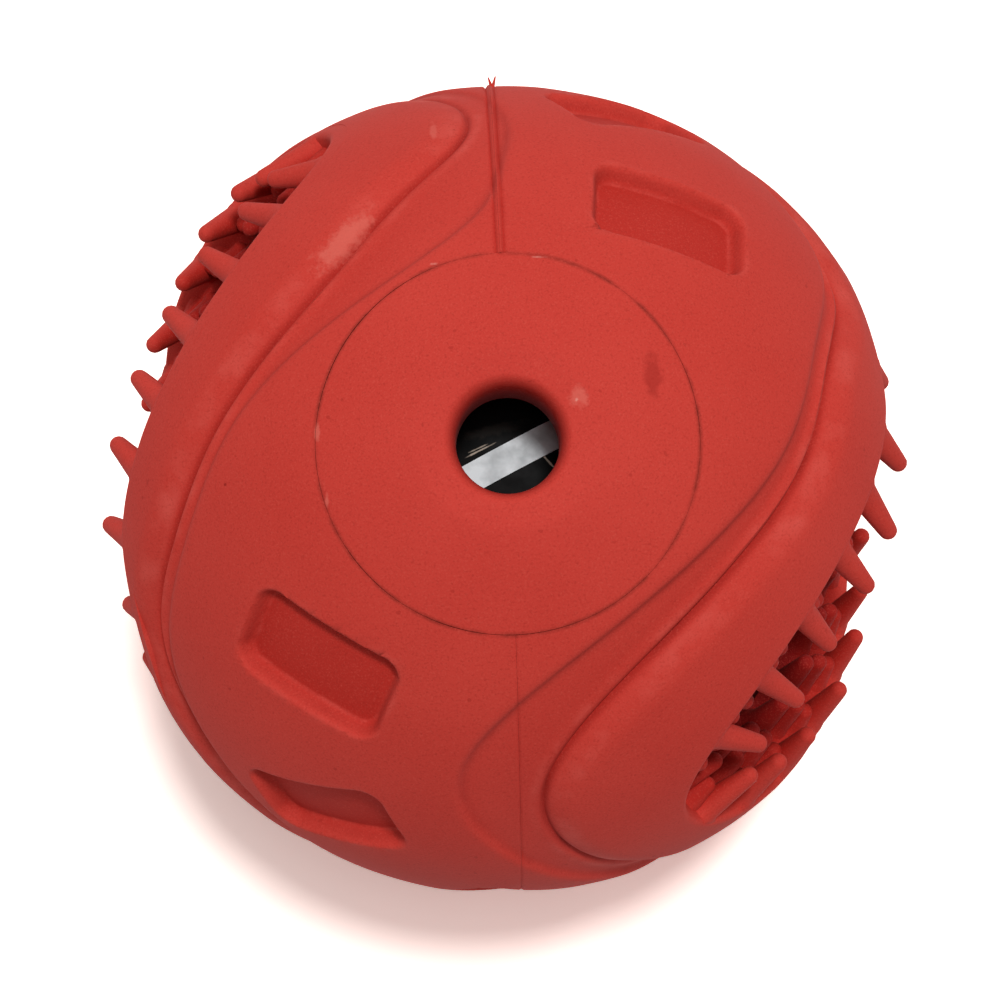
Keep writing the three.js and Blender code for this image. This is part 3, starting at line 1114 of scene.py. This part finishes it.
# Painted light: a faint broad pale patch on the black inner ball.
LIT_PATCH_COLOUR: Colour = (0.045, 0.036, 0.030)
PAINTED_LIGHT_MARKS = (
    # Three painted glints.
    Mark((-2.78, 0.99, 27.61), (1.83, 0.1), 0.8, GLINT_COLOUR, 24.0),
    Mark((-2.77, 1.30, 27.63), (1.24, 0.08), 0.6, GLINT_COLOUR, 21.9),
    Mark((4.35, -0.41, 27.47), (1.37, 0.1), 0.8, GLINT_COLOUR, -50.0),
    # Painted pale patch of light.
    Mark((-1.20, 3.12, 27.45), (3.34, 0.7), 0.35, LIT_PATCH_COLOUR, 12.0),
)


BLACK = PlasticFinish(
    name="black_plastic",
    low=(0.003, 0.003, 0.003),
    high=(0.006, 0.005, 0.005),
    specular=0.05,
    clouds=Grain(160.0, 3.0, 0.5, (0.35, 0.65)),
    # Painted glints and a painted patch of light.
    marks=PAINTED_LIGHT_MARKS,
)
PALE = PlasticFinish(
    name="pale_strip",
    low=(0.42, 0.44, 0.45),
    high=(0.80, 0.83, 0.85),
    specular=0.3,
    clouds=Grain(420.0, 3.0, 0.5, (0.35, 0.65)),
)


@dataclass
class Finishes:
    """The finishes that the pieces share, made once."""

    rubber: bpy.types.Material = field(default_factory=RubberFinish().material)
    black: bpy.types.Material = field(default_factory=BLACK.material)
    pale: bpy.types.Material = field(default_factory=PALE.material)


@dataclass
class SubAssembly:
    """Shared ways of dressing the pieces of one sub-assembly."""

    finishes: Finishes
    body: Body = Body.SHELL

    def dress(
        self, piece: bpy.types.Object, material: bpy.types.Material, slot: Slot, *nodes: str
    ) -> None:
        """Gives a piece its material and body and hides the CAD nodes that it stands for.

        Args:
            piece: The piece.
            material: Its material.
            slot: The record's slot for it; not used.
            nodes: CAD nodes that it replaces.
        """
        piece.data.materials.clear()
        piece.data.materials.append(material)
        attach(piece, self.body.value)
        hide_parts(*nodes)
        log.info("%s: %d faces", piece.name, len(piece.data.polygons))

    def dress_rubber(self, bm: bmesh.types.BMesh, name: str, crisp: float, node: str) -> None:
        """Finishes a rubber piece and keeps on its vertices how deep they lie, which sets painted shade, and
        their share of rubbing, painted highlight and painted shade.

        Args:
            bm: The piece. It is freed.
            name: Name of the piece.
            crisp: Angle above which an edge stays sharp, in degrees.
            node: CAD node that it replaces.
        """
        piece = finished(bm, name, crisp)
        place = mesh_places(piece.data) / MM
        far = np.linalg.norm(place, axis=1)
        depth = np.maximum(FORM.radius - far, 0)
        # Above zero: rubbing with a painted highlight; below zero: painted shade.
        wear_and_painted_light = FORM.wear_and_painted_light(place / far[:, None]) * (depth < FORM.wear_and_light_depth)
        for label, values in (("hollow", depth), ("wear_and_painted_light", wear_and_painted_light)):
            kept = piece.data.attributes.new(label, "FLOAT", "POINT")
            kept.data.foreach_set("value", values.astype(np.float32))
        self.dress(piece, self.finishes.rubber, Slot.RED_RUBBER, node)


@dataclass
class Shell(SubAssembly):
    """The two moulded halves with their pockets, grooves, lips and parting line."""

    around: int = 360
    lip_rings: int = 18
    strip_rings: int = 16
    band_rings: int = 28
    cavity_rings: int = 12
    parting: float = 0.01
    seam_gap: float = 0.004
    back_gap: float = 0.03
    back_depths: Span = (5.0, 2.0)
    lip_crowding: float = 1.6
    band_crowding: float = 1.5
    fine_cuts: int = 3
    pocket_margin: float = 0.9
    seam_offset: float = 0.2
    seam_margin: float = 0.75
    scores: tuple[float, ...] = (0.1, 0.2, 0.3, 0.42, 0.56, 0.8)
    score_zone: float = 2.5
    bore_segments: int = 256
    bore_length: float = 120.0
    crisp: float = 42.0
    spike_turn: float = 15.0
    spike_foot: Span = (0.35, 44.7)
    spike_tips: tuple[Span, ...] = ((-0.05, 46.0), (0.75, 46.1))
    spike_radii: Span = (0.24, 0.07)
    spike_sides: int = 8

    def section(self, turns: np.ndarray, left: bool) -> tuple[np.ndarray, np.ndarray]:
        """Angles and radii from the slot's cut over the outside to the middle line, and back inside.

        Args:
            turns: Turns round the slot axis.
            left: Whether the section is the left side's.

        Returns:
            Angles and radii, with a row for each turn.
        """
        cut = FORM.cut(turns)
        groove = FORM.groove(turns, left)
        band = FORM.band(turns, left)
        middle = FORM.middle(turns, left)
        lip = 1 - (1 - parted(0, 1, self.lip_rings)) ** self.lip_crowding
        strip = 0.5 - 0.5 * np.cos(parted(0, math.pi, self.strip_rings))
        wide = parted(0, 1, self.band_rings) ** self.band_crowding
        angles = [cut + (groove - cut) * t for t in lip]
        angles += [groove + (band - groove) * t for t in strip[1:]]
        angles += [band + (middle - band) * t for t in wide[1:]]
        radii = [np.full_like(cut, FORM.radius)] * len(angles)
        back = cut + FORM.across(FORM.edge, turns, self.back_gap)
        for i in range(self.cavity_rings, -1, -1):
            angles.append(back + (middle - back) * i / self.cavity_rings)
            radii.append(np.full_like(cut, FORM.cavity))
        for depth in self.back_depths:
            angles.append(back)
            radii.append(np.full_like(cut, FORM.radius - depth))
        return np.stack(angles, axis=1), np.stack(radii, axis=1)

    def one_side(self, left: bool) -> bmesh.types.BMesh:
        """One side's skin, open at the middle line.

        Args:
            left: Whether it is the left side, which is laid out as seen from its own slot.

        Returns:
            The skin, in a new bmesh.
        """
        rings = self.lip_rings + self.strip_rings + self.band_rings + 1
        total = rings + self.cavity_rings + 1 + len(self.back_depths)
        bm = tube_lattice(total, True, self.around, 0.0, 360.0)
        opened = [f for f in bm.faces if {round(v.co.x) for v in f.verts} == {rings - 1, rings}]
        bmesh.ops.delete(bm, geom=opened, context="FACES_ONLY")
        laid_out(bm, self.around, 0.0, 360.0, partial(self.section, left=left))
        return bm

    def near_pocket(self, way: np.ndarray) -> np.ndarray:
        """Which directions lie in a pocket or on its rim."""
        return FORM.pocket_reach(way) < self.pocket_margin

    def near_seam(self, way: np.ndarray) -> np.ndarray:
        """Which directions lie along the feed discs' seams."""
        past_seam = FORM.radius * np.hypot(way[:, 0], way[:, 1]) - FORM.seam
        return np.abs(past_seam - self.seam_offset) < self.seam_margin

    def subdivide(self, bm: bmesh.types.BMesh, wanted: Callable) -> None:
        """Splits the outside's edges where wanted.

        Args:
            bm: The shell.
            wanted: Tells which unit directions are wanted.
        """
        place = np.array([v.co for v in bm.verts])
        far = np.linalg.norm(place, axis=1)
        way = place / far[:, None]
        near = wanted(way) & (far > FORM.radius - SKIN)
        bm.verts.index_update()
        picked = [e for e in bm.edges if near[e.verts[0].index] and near[e.verts[1].index]]
        bmesh.ops.subdivide_edges(bm, edges=picked, cuts=self.fine_cuts, use_grid_fill=True)

    def score(self, bm: bmesh.types.BMesh) -> None:
        """Puts lines of edges into the outside, parallel to the parting plane and on both sides of it.

        Args:
            bm: The shell.
        """
        place = np.array([v.co for v in bm.verts])
        outside = np.linalg.norm(place, axis=1) > FORM.radius - SKIN
        near = (np.abs(place[:, 0]) < self.score_zone) & outside
        bm.verts.index_update()
        picked = [f for f in bm.faces if all(near[v.index] for v in f.verts)]
        geometry = [*picked, *{e for f in picked for e in f.edges}, *{v for f in picked for v in f.verts}]
        for off in [sign * value for value in self.scores for sign in (1, -1)]:
            geometry = bmesh.ops.bisect_plane(
                bm, geom=geometry, dist=CUT_SLACK, plane_co=(off, 0, 0), plane_no=(1, 0, 0)
            )["geom"]

    def whole(self) -> bmesh.types.BMesh:
        """The shell with its slots and bores, before it is parted.

        Returns:
            The whole shell, in a new bmesh.
        """
        bm = self.one_side(False)
        other = self.one_side(True)
        half_turned(other, "Z")
        joined_in(bm, other)
        bmesh.ops.remove_doubles(bm, verts=bm.verts, dist=MERGE)
        self.subdivide(bm, self.near_pocket)
        self.subdivide(bm, self.near_seam)
        self.score(bm)
        bmesh.ops.recalc_face_normals(bm, faces=bm.faces)
        raise_outside(bm, FORM)
        bore = bmesh.new()
        bmesh.ops.create_cone(
            bore,
            cap_ends=True,
            segments=self.bore_segments,
            radius1=FORM.seam + self.seam_gap,
            radius2=FORM.seam + self.seam_gap,
            depth=self.bore_length,
        )
        return boolean(bm, bore, "DIFFERENCE")

    def half(self, whole: bmesh.types.BMesh, side: Side) -> bmesh.types.BMesh:
        """One half of the shell, closed along the parting plane.

        Args:
            whole: The whole shell, which stays as it is.
            side: The half's side.

        Returns:
            The half, in a new bmesh.
        """
        bm = whole.copy()
        plane = side.value * self.parting
        cut = bmesh.ops.bisect_plane(
            bm,
            geom=[*bm.verts, *bm.edges, *bm.faces],
            dist=CUT_SLACK,
            plane_co=(plane, 0, 0),
            plane_no=(-side.value, 0, 0),
            clear_outer=True,
        )["geom_cut"]
        rims = [item for item in cut if isinstance(item, bmesh.types.BMEdge)]
        made = bmesh.ops.edgeloop_fill(bm, edges=rims)["faces"]
        bmesh.ops.triangulate(bm, faces=made)
        bmesh.ops.recalc_face_normals(bm, faces=bm.faces)
        return bm

    def add_spikes(self, bm: bmesh.types.BMesh) -> None:
        """Adds the two little spikes of flash at the parting line's far end.

        Args:
            bm: The right half.
        """
        turn = math.radians(self.spike_turn)
        outward = Vector((0, math.cos(turn), math.sin(turn)))
        foot = Vector((self.spike_foot[0], 0, 0)) + outward * self.spike_foot[1]
        for across, far in self.spike_tips:
            tip = Vector((across, 0, 0)) + outward * far
            way = tip - foot
            spike = bmesh.new()
            bmesh.ops.create_cone(
                spike,
                cap_ends=True,
                segments=self.spike_sides,
                radius1=self.spike_radii[0],
                radius2=self.spike_radii[1],
                depth=way.length,
            )
            turned = way.normalized().to_track_quat("Z", "Y").to_matrix().to_4x4()
            middle = Matrix.Translation(foot + way / 2)
            bmesh.ops.transform(spike, matrix=middle @ turned, verts=spike.verts)
            joined_in(bm, spike)

    def build(self) -> None:
        """Builds and dresses both halves."""
        whole = self.whole()
        for side, node in ((Side.RIGHT, "shell_half_right"), (Side.LEFT, "shell_half_left")):
            half = self.half(whole, side)
            if side is Side.RIGHT:
                self.add_spikes(half)
            self.dress_rubber(half, "moulded_" + node, self.crisp, node)
        whole.free()


@dataclass
class FeedDisc(SubAssembly):
    """Round disc with the feed hole, set into the shell's top or bottom."""

    steps: int = 288
    hole: float = 5.1
    mouth_round: float = 1.3
    mouth_drop: float = 3.0
    seat: float = 9.0
    rim_gap: float = 0.004
    rim_round: float = 0.08
    rim_fall: float = 0.05
    blend: float = 1.6
    crisp: float = 42.0
    bore_steps: int = 8
    mouth_steps: int = 12
    flat_steps: int = 5
    outside_steps: int = 18
    rim_steps: int = 4
    cavity_steps: int = 8

    def profile(self) -> list[Span]:
        """The disc's section.

        Returns:
            Radius and height of each point: bore, mouth, flat, outside, rim and cavity.
        """
        flat = math.sqrt(FORM.radius**2 - self.seat**2)
        low = math.sqrt(FORM.cavity**2 - self.hole**2)
        mouth = self.hole + self.mouth_round
        rim = FORM.seam - self.rim_gap
        first = math.asin(self.seat / FORM.radius)
        last = math.asin((rim - self.rim_round) / FORM.radius)
        top = FORM.radius * math.cos(last)
        back = math.asin(rim / FORM.cavity)
        bore = math.asin(self.hole / FORM.cavity)
        foot = flat - self.mouth_drop
        points = [(self.hole, height) for height in parted(low, foot, self.bore_steps)[:-1]]
        for turn in parted(0, math.pi / 2, self.mouth_steps):
            off = self.mouth_round * (1 - math.cos(turn))
            points.append((self.hole + off, flat - self.mouth_drop * (1 - math.sin(turn))))
        points += [(radius, flat) for radius in parted(mouth, self.seat, self.flat_steps)[1:-1]]
        for lean in parted(first, last, self.outside_steps):
            points.append((FORM.radius * math.sin(lean), FORM.radius * math.cos(lean)))
        for part in parted(0, 1, self.rim_steps)[1:]:
            turn = math.pi / 2 * part
            fall = self.rim_round * (1 - math.cos(turn)) + self.rim_fall * part
            points.append((rim - self.rim_round * (1 - math.sin(turn)), top - fall))
        for lean in parted(back, bore, self.cavity_steps)[:-1]:
            points.append((FORM.cavity * math.sin(lean), FORM.cavity * math.cos(lean)))
        return points

    def solid(self) -> bmesh.types.BMesh:
        """The disc's ring, spun from its profile and made uneven like the shell.

        Returns:
            The disc, in a new bmesh.
        """
        bm = revolved(self.profile(), self.steps)
        place = np.array([v.co for v in bm.verts])
        far = np.linalg.norm(place, axis=1)
        lift = FORM.unevenness.at(place / far[:, None] * FORM.radius)
        above = far - FORM.radius + self.mouth_drop + self.blend
        shown = np.clip(above / self.mouth_drop, 0, 1)
        for vert, grow in zip(bm.verts, 1 + lift * shown / far):
            vert.co *= float(grow)
        return bm

    def build(self) -> None:
        """Builds and dresses the top and the bottom disc."""
        for node, flip in (("feed_disc_top", False), ("feed_disc_bottom", True)):
            bm = self.solid()
            if flip:
                half_turned(bm, "X")
            self.dress_rubber(bm, "moulded_" + node, self.crisp, node)


@dataclass(frozen=True)
class Rank:
    """A rank of fingers: its shift as a share of the pitch, depth under the ball's radius and length."""

    shift: float
    depth: float
    length: float


@dataclass
class BristleRow(SubAssembly):
    """Lining of a lip with the four ranks of moulded fingers that stand on it.

    A finger's foot is given by radii and heights over the lip.
    """

    pitch: float = 8.2
    margin: float = 2.6
    foot: tuple[Span, ...] = ((2.35, -0.8), (2.1, -0.1), (1.84, 0.25), (1.58, 0.8))
    tip: float = 1.0
    flush: float = 1.73
    ranks: tuple[Rank, ...] = (
        Rank(0.0, 1.85, 7.7),
        Rank(0.5, 4.9, 5.8),
        Rank(0.75, 3.3, 3.6),
        Rank(0.25, 6.3, 6.4),
    )
    lean: float = 0.16
    droop: float = 0.3
    sideways: float = 0.05
    upwards: float = 0.04
    lengths: Span = (0.94, 1.05)
    shorter: Shift = Shift(0.38, 18.0, 38.0)
    anchors: tuple[tuple[Side, Lip, float], ...] = (
        (Side.RIGHT, Lip.UPPER, 121.0),
        (Side.RIGHT, Lip.LOWER, 188.0),
        (Side.LEFT, Lip.UPPER, 117.0),
        (Side.LEFT, Lip.LOWER, 187.0),
    )
    sides: int = 14
    rim_rings: int = 7
    flat_rings: int = 4
    wall_rings: int = 5
    back_heights: Span = (0.4, 0.0)
    inset: float = 0.2
    back_gap: float = 0.03
    step: float = 1.0
    taper_steps: int = 4
    tip_steps: int = 5
    samples: int = 400
    nudge: float = 0.01
    seed: int = 1000
    seed_step: int = 3
    crisp: float = 50.0

    def section(self, turns: np.ndarray) -> tuple[np.ndarray, np.ndarray]:
        """Angles and radii round the lining's section: wall, rounded edge, outside and back.

        Args:
            turns: Turns round the slot axis.

        Returns:
            Angles and radii, with a row for each turn.
        """
        edge = FORM.edge(turns)
        spread = FORM.spread(FORM.edge, turns) / FORM.radius
        bottom = FORM.cavity + self.inset
        top = FORM.radius - FORM.lip_round
        points = [(0.0, radius) for radius in parted(bottom, top, self.wall_rings)[:-1]]
        for turn in parted(0, math.pi / 2, self.rim_rings):
            points.append((FORM.lip_round * (1 - math.cos(turn)), FORM.radius))
        for off in parted(FORM.lip_round, FORM.lining, self.flat_rings)[1:]:
            points.append((off, FORM.radius))
        for part in self.back_heights:
            points.append((FORM.lining - self.back_gap, bottom + (top - bottom) * part))
        angles = [edge + off * spread for off, _ in points]
        radii = [np.full_like(edge, radius) for _, radius in points]
        return np.stack(angles, axis=1), np.stack(radii, axis=1)

    def lined(self, start: float) -> bmesh.types.BMesh:
        """The lining of one lip, closed at its ends.

        Args:
            start: Turn at which the lip starts, in degrees.

        Returns:
            The lining, in a new bmesh.
        """
        rings = self.wall_rings + self.rim_rings + 1 + self.flat_rings + len(self.back_heights)
        steps = round(180 / self.step)
        bm = tube_lattice(rings, True, steps, start, 180.0)
        laid_out(bm, steps, start, 180.0, self.section)
        bmesh.ops.holes_fill(bm, edges=[e for e in bm.edges if e.is_boundary], sides=0)
        bmesh.ops.recalc_face_normals(bm, faces=bm.faces)
        raise_outside(bm, FORM)
        return bm

    def stations(self, start: float, anchor: float, shift: float) -> np.ndarray:
        """Turns at which fingers stand, at equal lengths along the edge.

        Args:
            start: Turn at which the lip starts, in degrees.
            anchor: Turn of one finger of the long rank, in degrees.
            shift: Share of the pitch by which this rank stands beside the long one.

        Returns:
            The turns, in radians.
        """
        turns = np.radians(parted(start, start + 180.0, self.samples))
        points = FORM.radius * FORM.heading(turns, FORM.edge(turns))
        lengths = np.concatenate([[0], np.cumsum(np.linalg.norm(np.diff(points, axis=0), axis=1))])
        known = np.interp(math.radians(anchor), turns, lengths) + shift * self.pitch
        first = self.margin + (known - self.margin) % self.pitch
        return np.interp(np.arange(first, lengths[-1] - self.margin, self.pitch), lengths, turns)

    def finger_shape(self, full: float) -> bmesh.types.BMesh:
        """One tapered finger with a flared foot and a round tip.

        Args:
            full: Height of its tip over the lip.

        Returns:
            The finger along Z, flattened towards the ball's outside, in a new bmesh.
        """
        root, low = self.foot[-1]
        profile = [(0.0, self.foot[0][1]), *self.foot]
        for part in parted(0, 1, self.taper_steps)[1:]:
            profile.append((root + (self.tip - root) * part, low + (full - self.tip - low) * part))
        for lift in parted(0, math.pi / 2, self.tip_steps)[1:-1]:
            profile.append((self.tip * math.cos(lift), full - self.tip + self.tip * math.sin(lift)))
        profile.append((0.0, full))
        own = revolved(profile, self.sides, closed=False)
        for vert in own.verts:
            vert.co.y = min(vert.co.y, self.flush)
        return own

    def finger(self, bm: bmesh.types.BMesh, turn: float, rank: Rank, draw: np.random.Generator) -> None:
        """Adds one finger to a row.

        Args:
            bm: The row.
            turn: Turn at which it stands.
            rank: The finger's rank.
            draw: Source of its slight lean and change of length.
        """
        near = np.array([turn - self.nudge, turn, turn + self.nudge])
        before, root, after = (FORM.radius - rank.depth) * FORM.heading(near, FORM.edge(near))
        out = root / np.linalg.norm(root)
        tangent = (after - before) / np.linalg.norm(after - before)
        across = np.cross(out, tangent)
        if across[0] < 0:
            across = -across
        lean = self.lean - self.droop * (1 - math.sin(turn)) / 2
        way = across + lean * out
        way += draw.normal(0, self.sideways) * tangent + draw.normal(0, self.upwards) * out
        way /= np.linalg.norm(way)
        beside = np.cross(out, way)
        beside /= np.linalg.norm(beside)
        above = np.cross(way, beside)
        full = rank.length * draw.uniform(*self.lengths) * (1 - float(self.shorter.at(turn)))
        own = self.finger_shape(full)
        turned = Matrix(np.stack([beside, above, way], axis=1).tolist()).to_4x4()
        bmesh.ops.transform(own, matrix=Matrix.Translation(Vector(root)) @ turned, verts=own.verts)
        joined_in(bm, own)

    def build(self) -> None:
        """Builds and dresses all four rows."""
        starts = {Lip.UPPER: FORM.slot_tip - 180, Lip.LOWER: FORM.slot_tip}
        for side, lip, anchor in self.anchors:
            start = starts[lip]
            draw = np.random.default_rng(self.seed + self.seed_step * side.value + round(start))
            bm = self.lined(start)
            for rank in self.ranks:
                for turn in self.stations(start, anchor, rank.shift):
                    self.finger(bm, turn, rank, draw)
            if side is Side.LEFT:
                half_turned(bm, "Z")
            label = side.name.lower() + "_" + lip.value
            self.dress_rubber(bm, "bristles_" + label, self.crisp, "bristle_row_" + label)


@dataclass
class InnerBall(SubAssembly):
    """Loose black ball in the cavity, with the pale band between its halves."""

    radius: float = 32.0
    wall: float = 2.0
    drop: float = 4.2
    band_width: float = 3.0
    band_proud: float = 0.12
    band_turn: float = 26.0
    gap: float = 0.04
    steps: int = 96
    outer_steps: int = 24
    inner_steps: int = 12
    crisp: float = 35.0

    def placed(self, bm: bmesh.types.BMesh, name: str) -> bpy.types.Object:
        """Lays a piece's axis level, turns it and lowers it to where the ball lies.

        Args:
            bm: The piece with its axis along Z. It is freed.
            name: Name of the piece.

        Returns:
            The new object.
        """
        level = Matrix.Rotation(-math.pi / 2, 4, "X")
        turn = Matrix.Rotation(math.radians(self.band_turn), 4, "Z")
        down = Matrix.Translation((0, 0, -self.drop))
        bmesh.ops.transform(bm, matrix=down @ turn @ level, verts=bm.verts)
        return finished(bm, name, self.crisp)

    def build(self) -> None:
        """Builds and dresses both halves and the band."""
        half = self.band_width / 2
        inner = self.radius - self.wall
        profile = []
        for radius, steps, way in ((self.radius, self.outer_steps, 1), (inner, self.inner_steps, -1)):
            low = math.asin((half + self.gap) / radius)
            for lean in parted(low, math.pi / 2, steps)[::way]:
                profile.append((radius * math.cos(lean), radius * math.sin(lean)))
        for node, flip in (("inner_ball_half_a", False), ("inner_ball_half_b", True)):
            bm = revolved(profile, self.steps)
            if flip:
                half_turned(bm, "X")
            self.dress(self.placed(bm, "moulded_" + node), self.finishes.black, Slot.BLACK_SHELL, node)
        high = self.radius + self.band_proud
        band = revolved([(inner, -half), (high, -half), (high, half), (inner, half)], self.steps)
        piece = self.placed(band, "moulded_inner_ball_band")
        self.dress(piece, self.finishes.pale, Slot.PALE_BAND, "inner_ball_band")


@dataclass(frozen=True)
class Lamp:
    """Soft round lamp: its direction, its brightness on white paper, its size and distance in metres."""

    name: str
    way: tuple[float, float, float]
    brightness: float
    size: float
    distance: float

    def build(self) -> None:
        """Makes the lamp, facing the ball."""
        data = bpy.data.lights.new(self.name, "AREA")
        data.shape = "DISK"
        data.size = self.size
        data.energy = self.brightness * (math.pi * self.distance) ** 2
        lamp = new_object(self.name, data)
        way = Vector(self.way).normalized()
        turned = way.to_track_quat("Z", "Y").to_matrix().to_4x4()
        lamp.matrix_world = Matrix.Translation(way * self.distance) @ turned


def seen_apart(tree: bpy.types.NodeTree, shader: str, output: str, rest: Colour, seen: Colour) -> None:
    """Gives a material or world one colour for light and another for the camera.

    Args:
        tree: Its nodes.
        shader: Kind of its shaders.
        output: Kind of its output.
        rest: Colour for light.
        seen: Colour that the camera sees.
    """
    tree.nodes.clear()
    out = tree.nodes.new(output)
    path = tree.nodes.new("ShaderNodeLightPath")
    pick = tree.nodes.new("ShaderNodeMixShader")
    tree.links.new(path.outputs["Is Camera Ray"], pick.inputs[0])
    for colour, socket in ((rest, pick.inputs[1]), (seen, pick.inputs[2])):
        made = tree.nodes.new(shader)
        made.inputs["Color"].default_value = (*colour, 1)
        tree.links.new(made.outputs[0], socket)
    tree.links.new(pick.outputs[0], out.inputs["Surface"])


@dataclass
class Studio:
    """Floor, lamps and the camera at the photograph's angle.

    Lengths are in millimetres, but the clip and the lamps are in metres.
    """

    floor_height: float = -44.09
    floor_half: float = 500.0
    floor_colour: Colour = (0.86, 0.86, 0.86)
    floor_seen: Colour = (1.95, 1.68, 1.57)
    camera_shift: tuple[float, float, float] = (0.451, 1.128, -300.0)
    camera_turns: tuple[float, float, float] = (-4.0, -6.3, 6.3)
    focal_length: float = 95.744
    sensor: float = 36.0
    clip: Span = (0.01, 10.0)
    ambient: Colour = (0.27, 0.27, 0.27)
    backdrop: Colour = (1.0, 1.0, 1.0)
    lamps: tuple[Lamp, ...] = (
        Lamp("key_lamp", (0.08, 0.17, 1.0), 0.6, 0.2, 1.3),
        Lamp("overhead_lamp", (0.04, 0.0, 1.0), 0.08, 0.25, 1.2),
        Lamp("back_lamp", (0.0, 0.93, 0.37), 0.12, 0.5, 0.9),
        Lamp("right_lamp", (1.0, 0.1, 0.3), 0.05, 0.6, 0.9),
        Lamp("left_lamp", (-1.0, 0.1, 0.3), 0.06, 0.6, 0.9),
    )

    def view_turn(self) -> Matrix:
        """Turn from the object's frame to the camera's.

        Returns:
            The rotation.
        """
        first, second, third = (math.radians(value) for value in self.camera_turns)
        return (
            Matrix.Rotation(first, 3, "Z")
            @ Matrix.Rotation(second, 3, "X")
            @ Matrix.Rotation(third, 3, "Z")
        )

    def camera(self) -> None:
        """Sets up the camera."""
        data = bpy.data.cameras.new("camera")
        data.lens = self.focal_length
        data.sensor_width = self.sensor
        data.dof.use_dof = False
        data.clip_start, data.clip_end = self.clip
        made = new_object("camera", data)
        back = self.view_turn().transposed()
        made.matrix_world = Matrix.Translation(-(back @ Vector(self.camera_shift)) * MM) @ back.to_4x4()
        bpy.context.scene.camera = made

    def floor(self) -> None:
        """Lays a pale floor under the ball."""
        bm = bmesh.new()
        bmesh.ops.create_grid(bm, x_segments=1, y_segments=1, size=self.floor_half * MM)
        bmesh.ops.translate(bm, verts=bm.verts, vec=(0, 0, self.floor_height * MM))
        mesh = bpy.data.meshes.new("floor")
        bm.to_mesh(mesh)
        bm.free()
        made = new_object("floor", mesh)
        material = bpy.data.materials.new("floor_pale")
        material.use_nodes = True
        seen_apart(
            material.node_tree,
            "ShaderNodeBsdfDiffuse",
            "ShaderNodeOutputMaterial",
            self.floor_colour,
            self.floor_seen,
        )
        mesh.materials.append(material)

    def light(self) -> None:
        """Sets up the ambient light and the lamps."""
        world = bpy.data.worlds.new("studio")
        bpy.context.scene.world = world
        world.use_nodes = True
        seen_apart(
            world.node_tree,
            "ShaderNodeBackground",
            "ShaderNodeOutputWorld",
            self.ambient,
            self.backdrop,
        )
        for lamp in self.lamps:
            lamp.build()

    def build(self) -> None:
        """Sets up everything around the ball."""
        self.camera()
        self.floor()
        self.light()
        bpy.context.scene.view_settings.view_transform = "Standard"


def main() -> None:
    """Builds every sub-assembly in order; each piece's face count is logged."""
    logging.basicConfig(level=logging.INFO, format="%(message)s")
    finishes = Finishes()
    Studio().build()
    Shell(finishes).build()
    FeedDisc(finishes).build()
    BristleRow(finishes).build()
    InnerBall(finishes, body=Body.INNER_BALL).build()


if __name__ == "__main__":
    main()
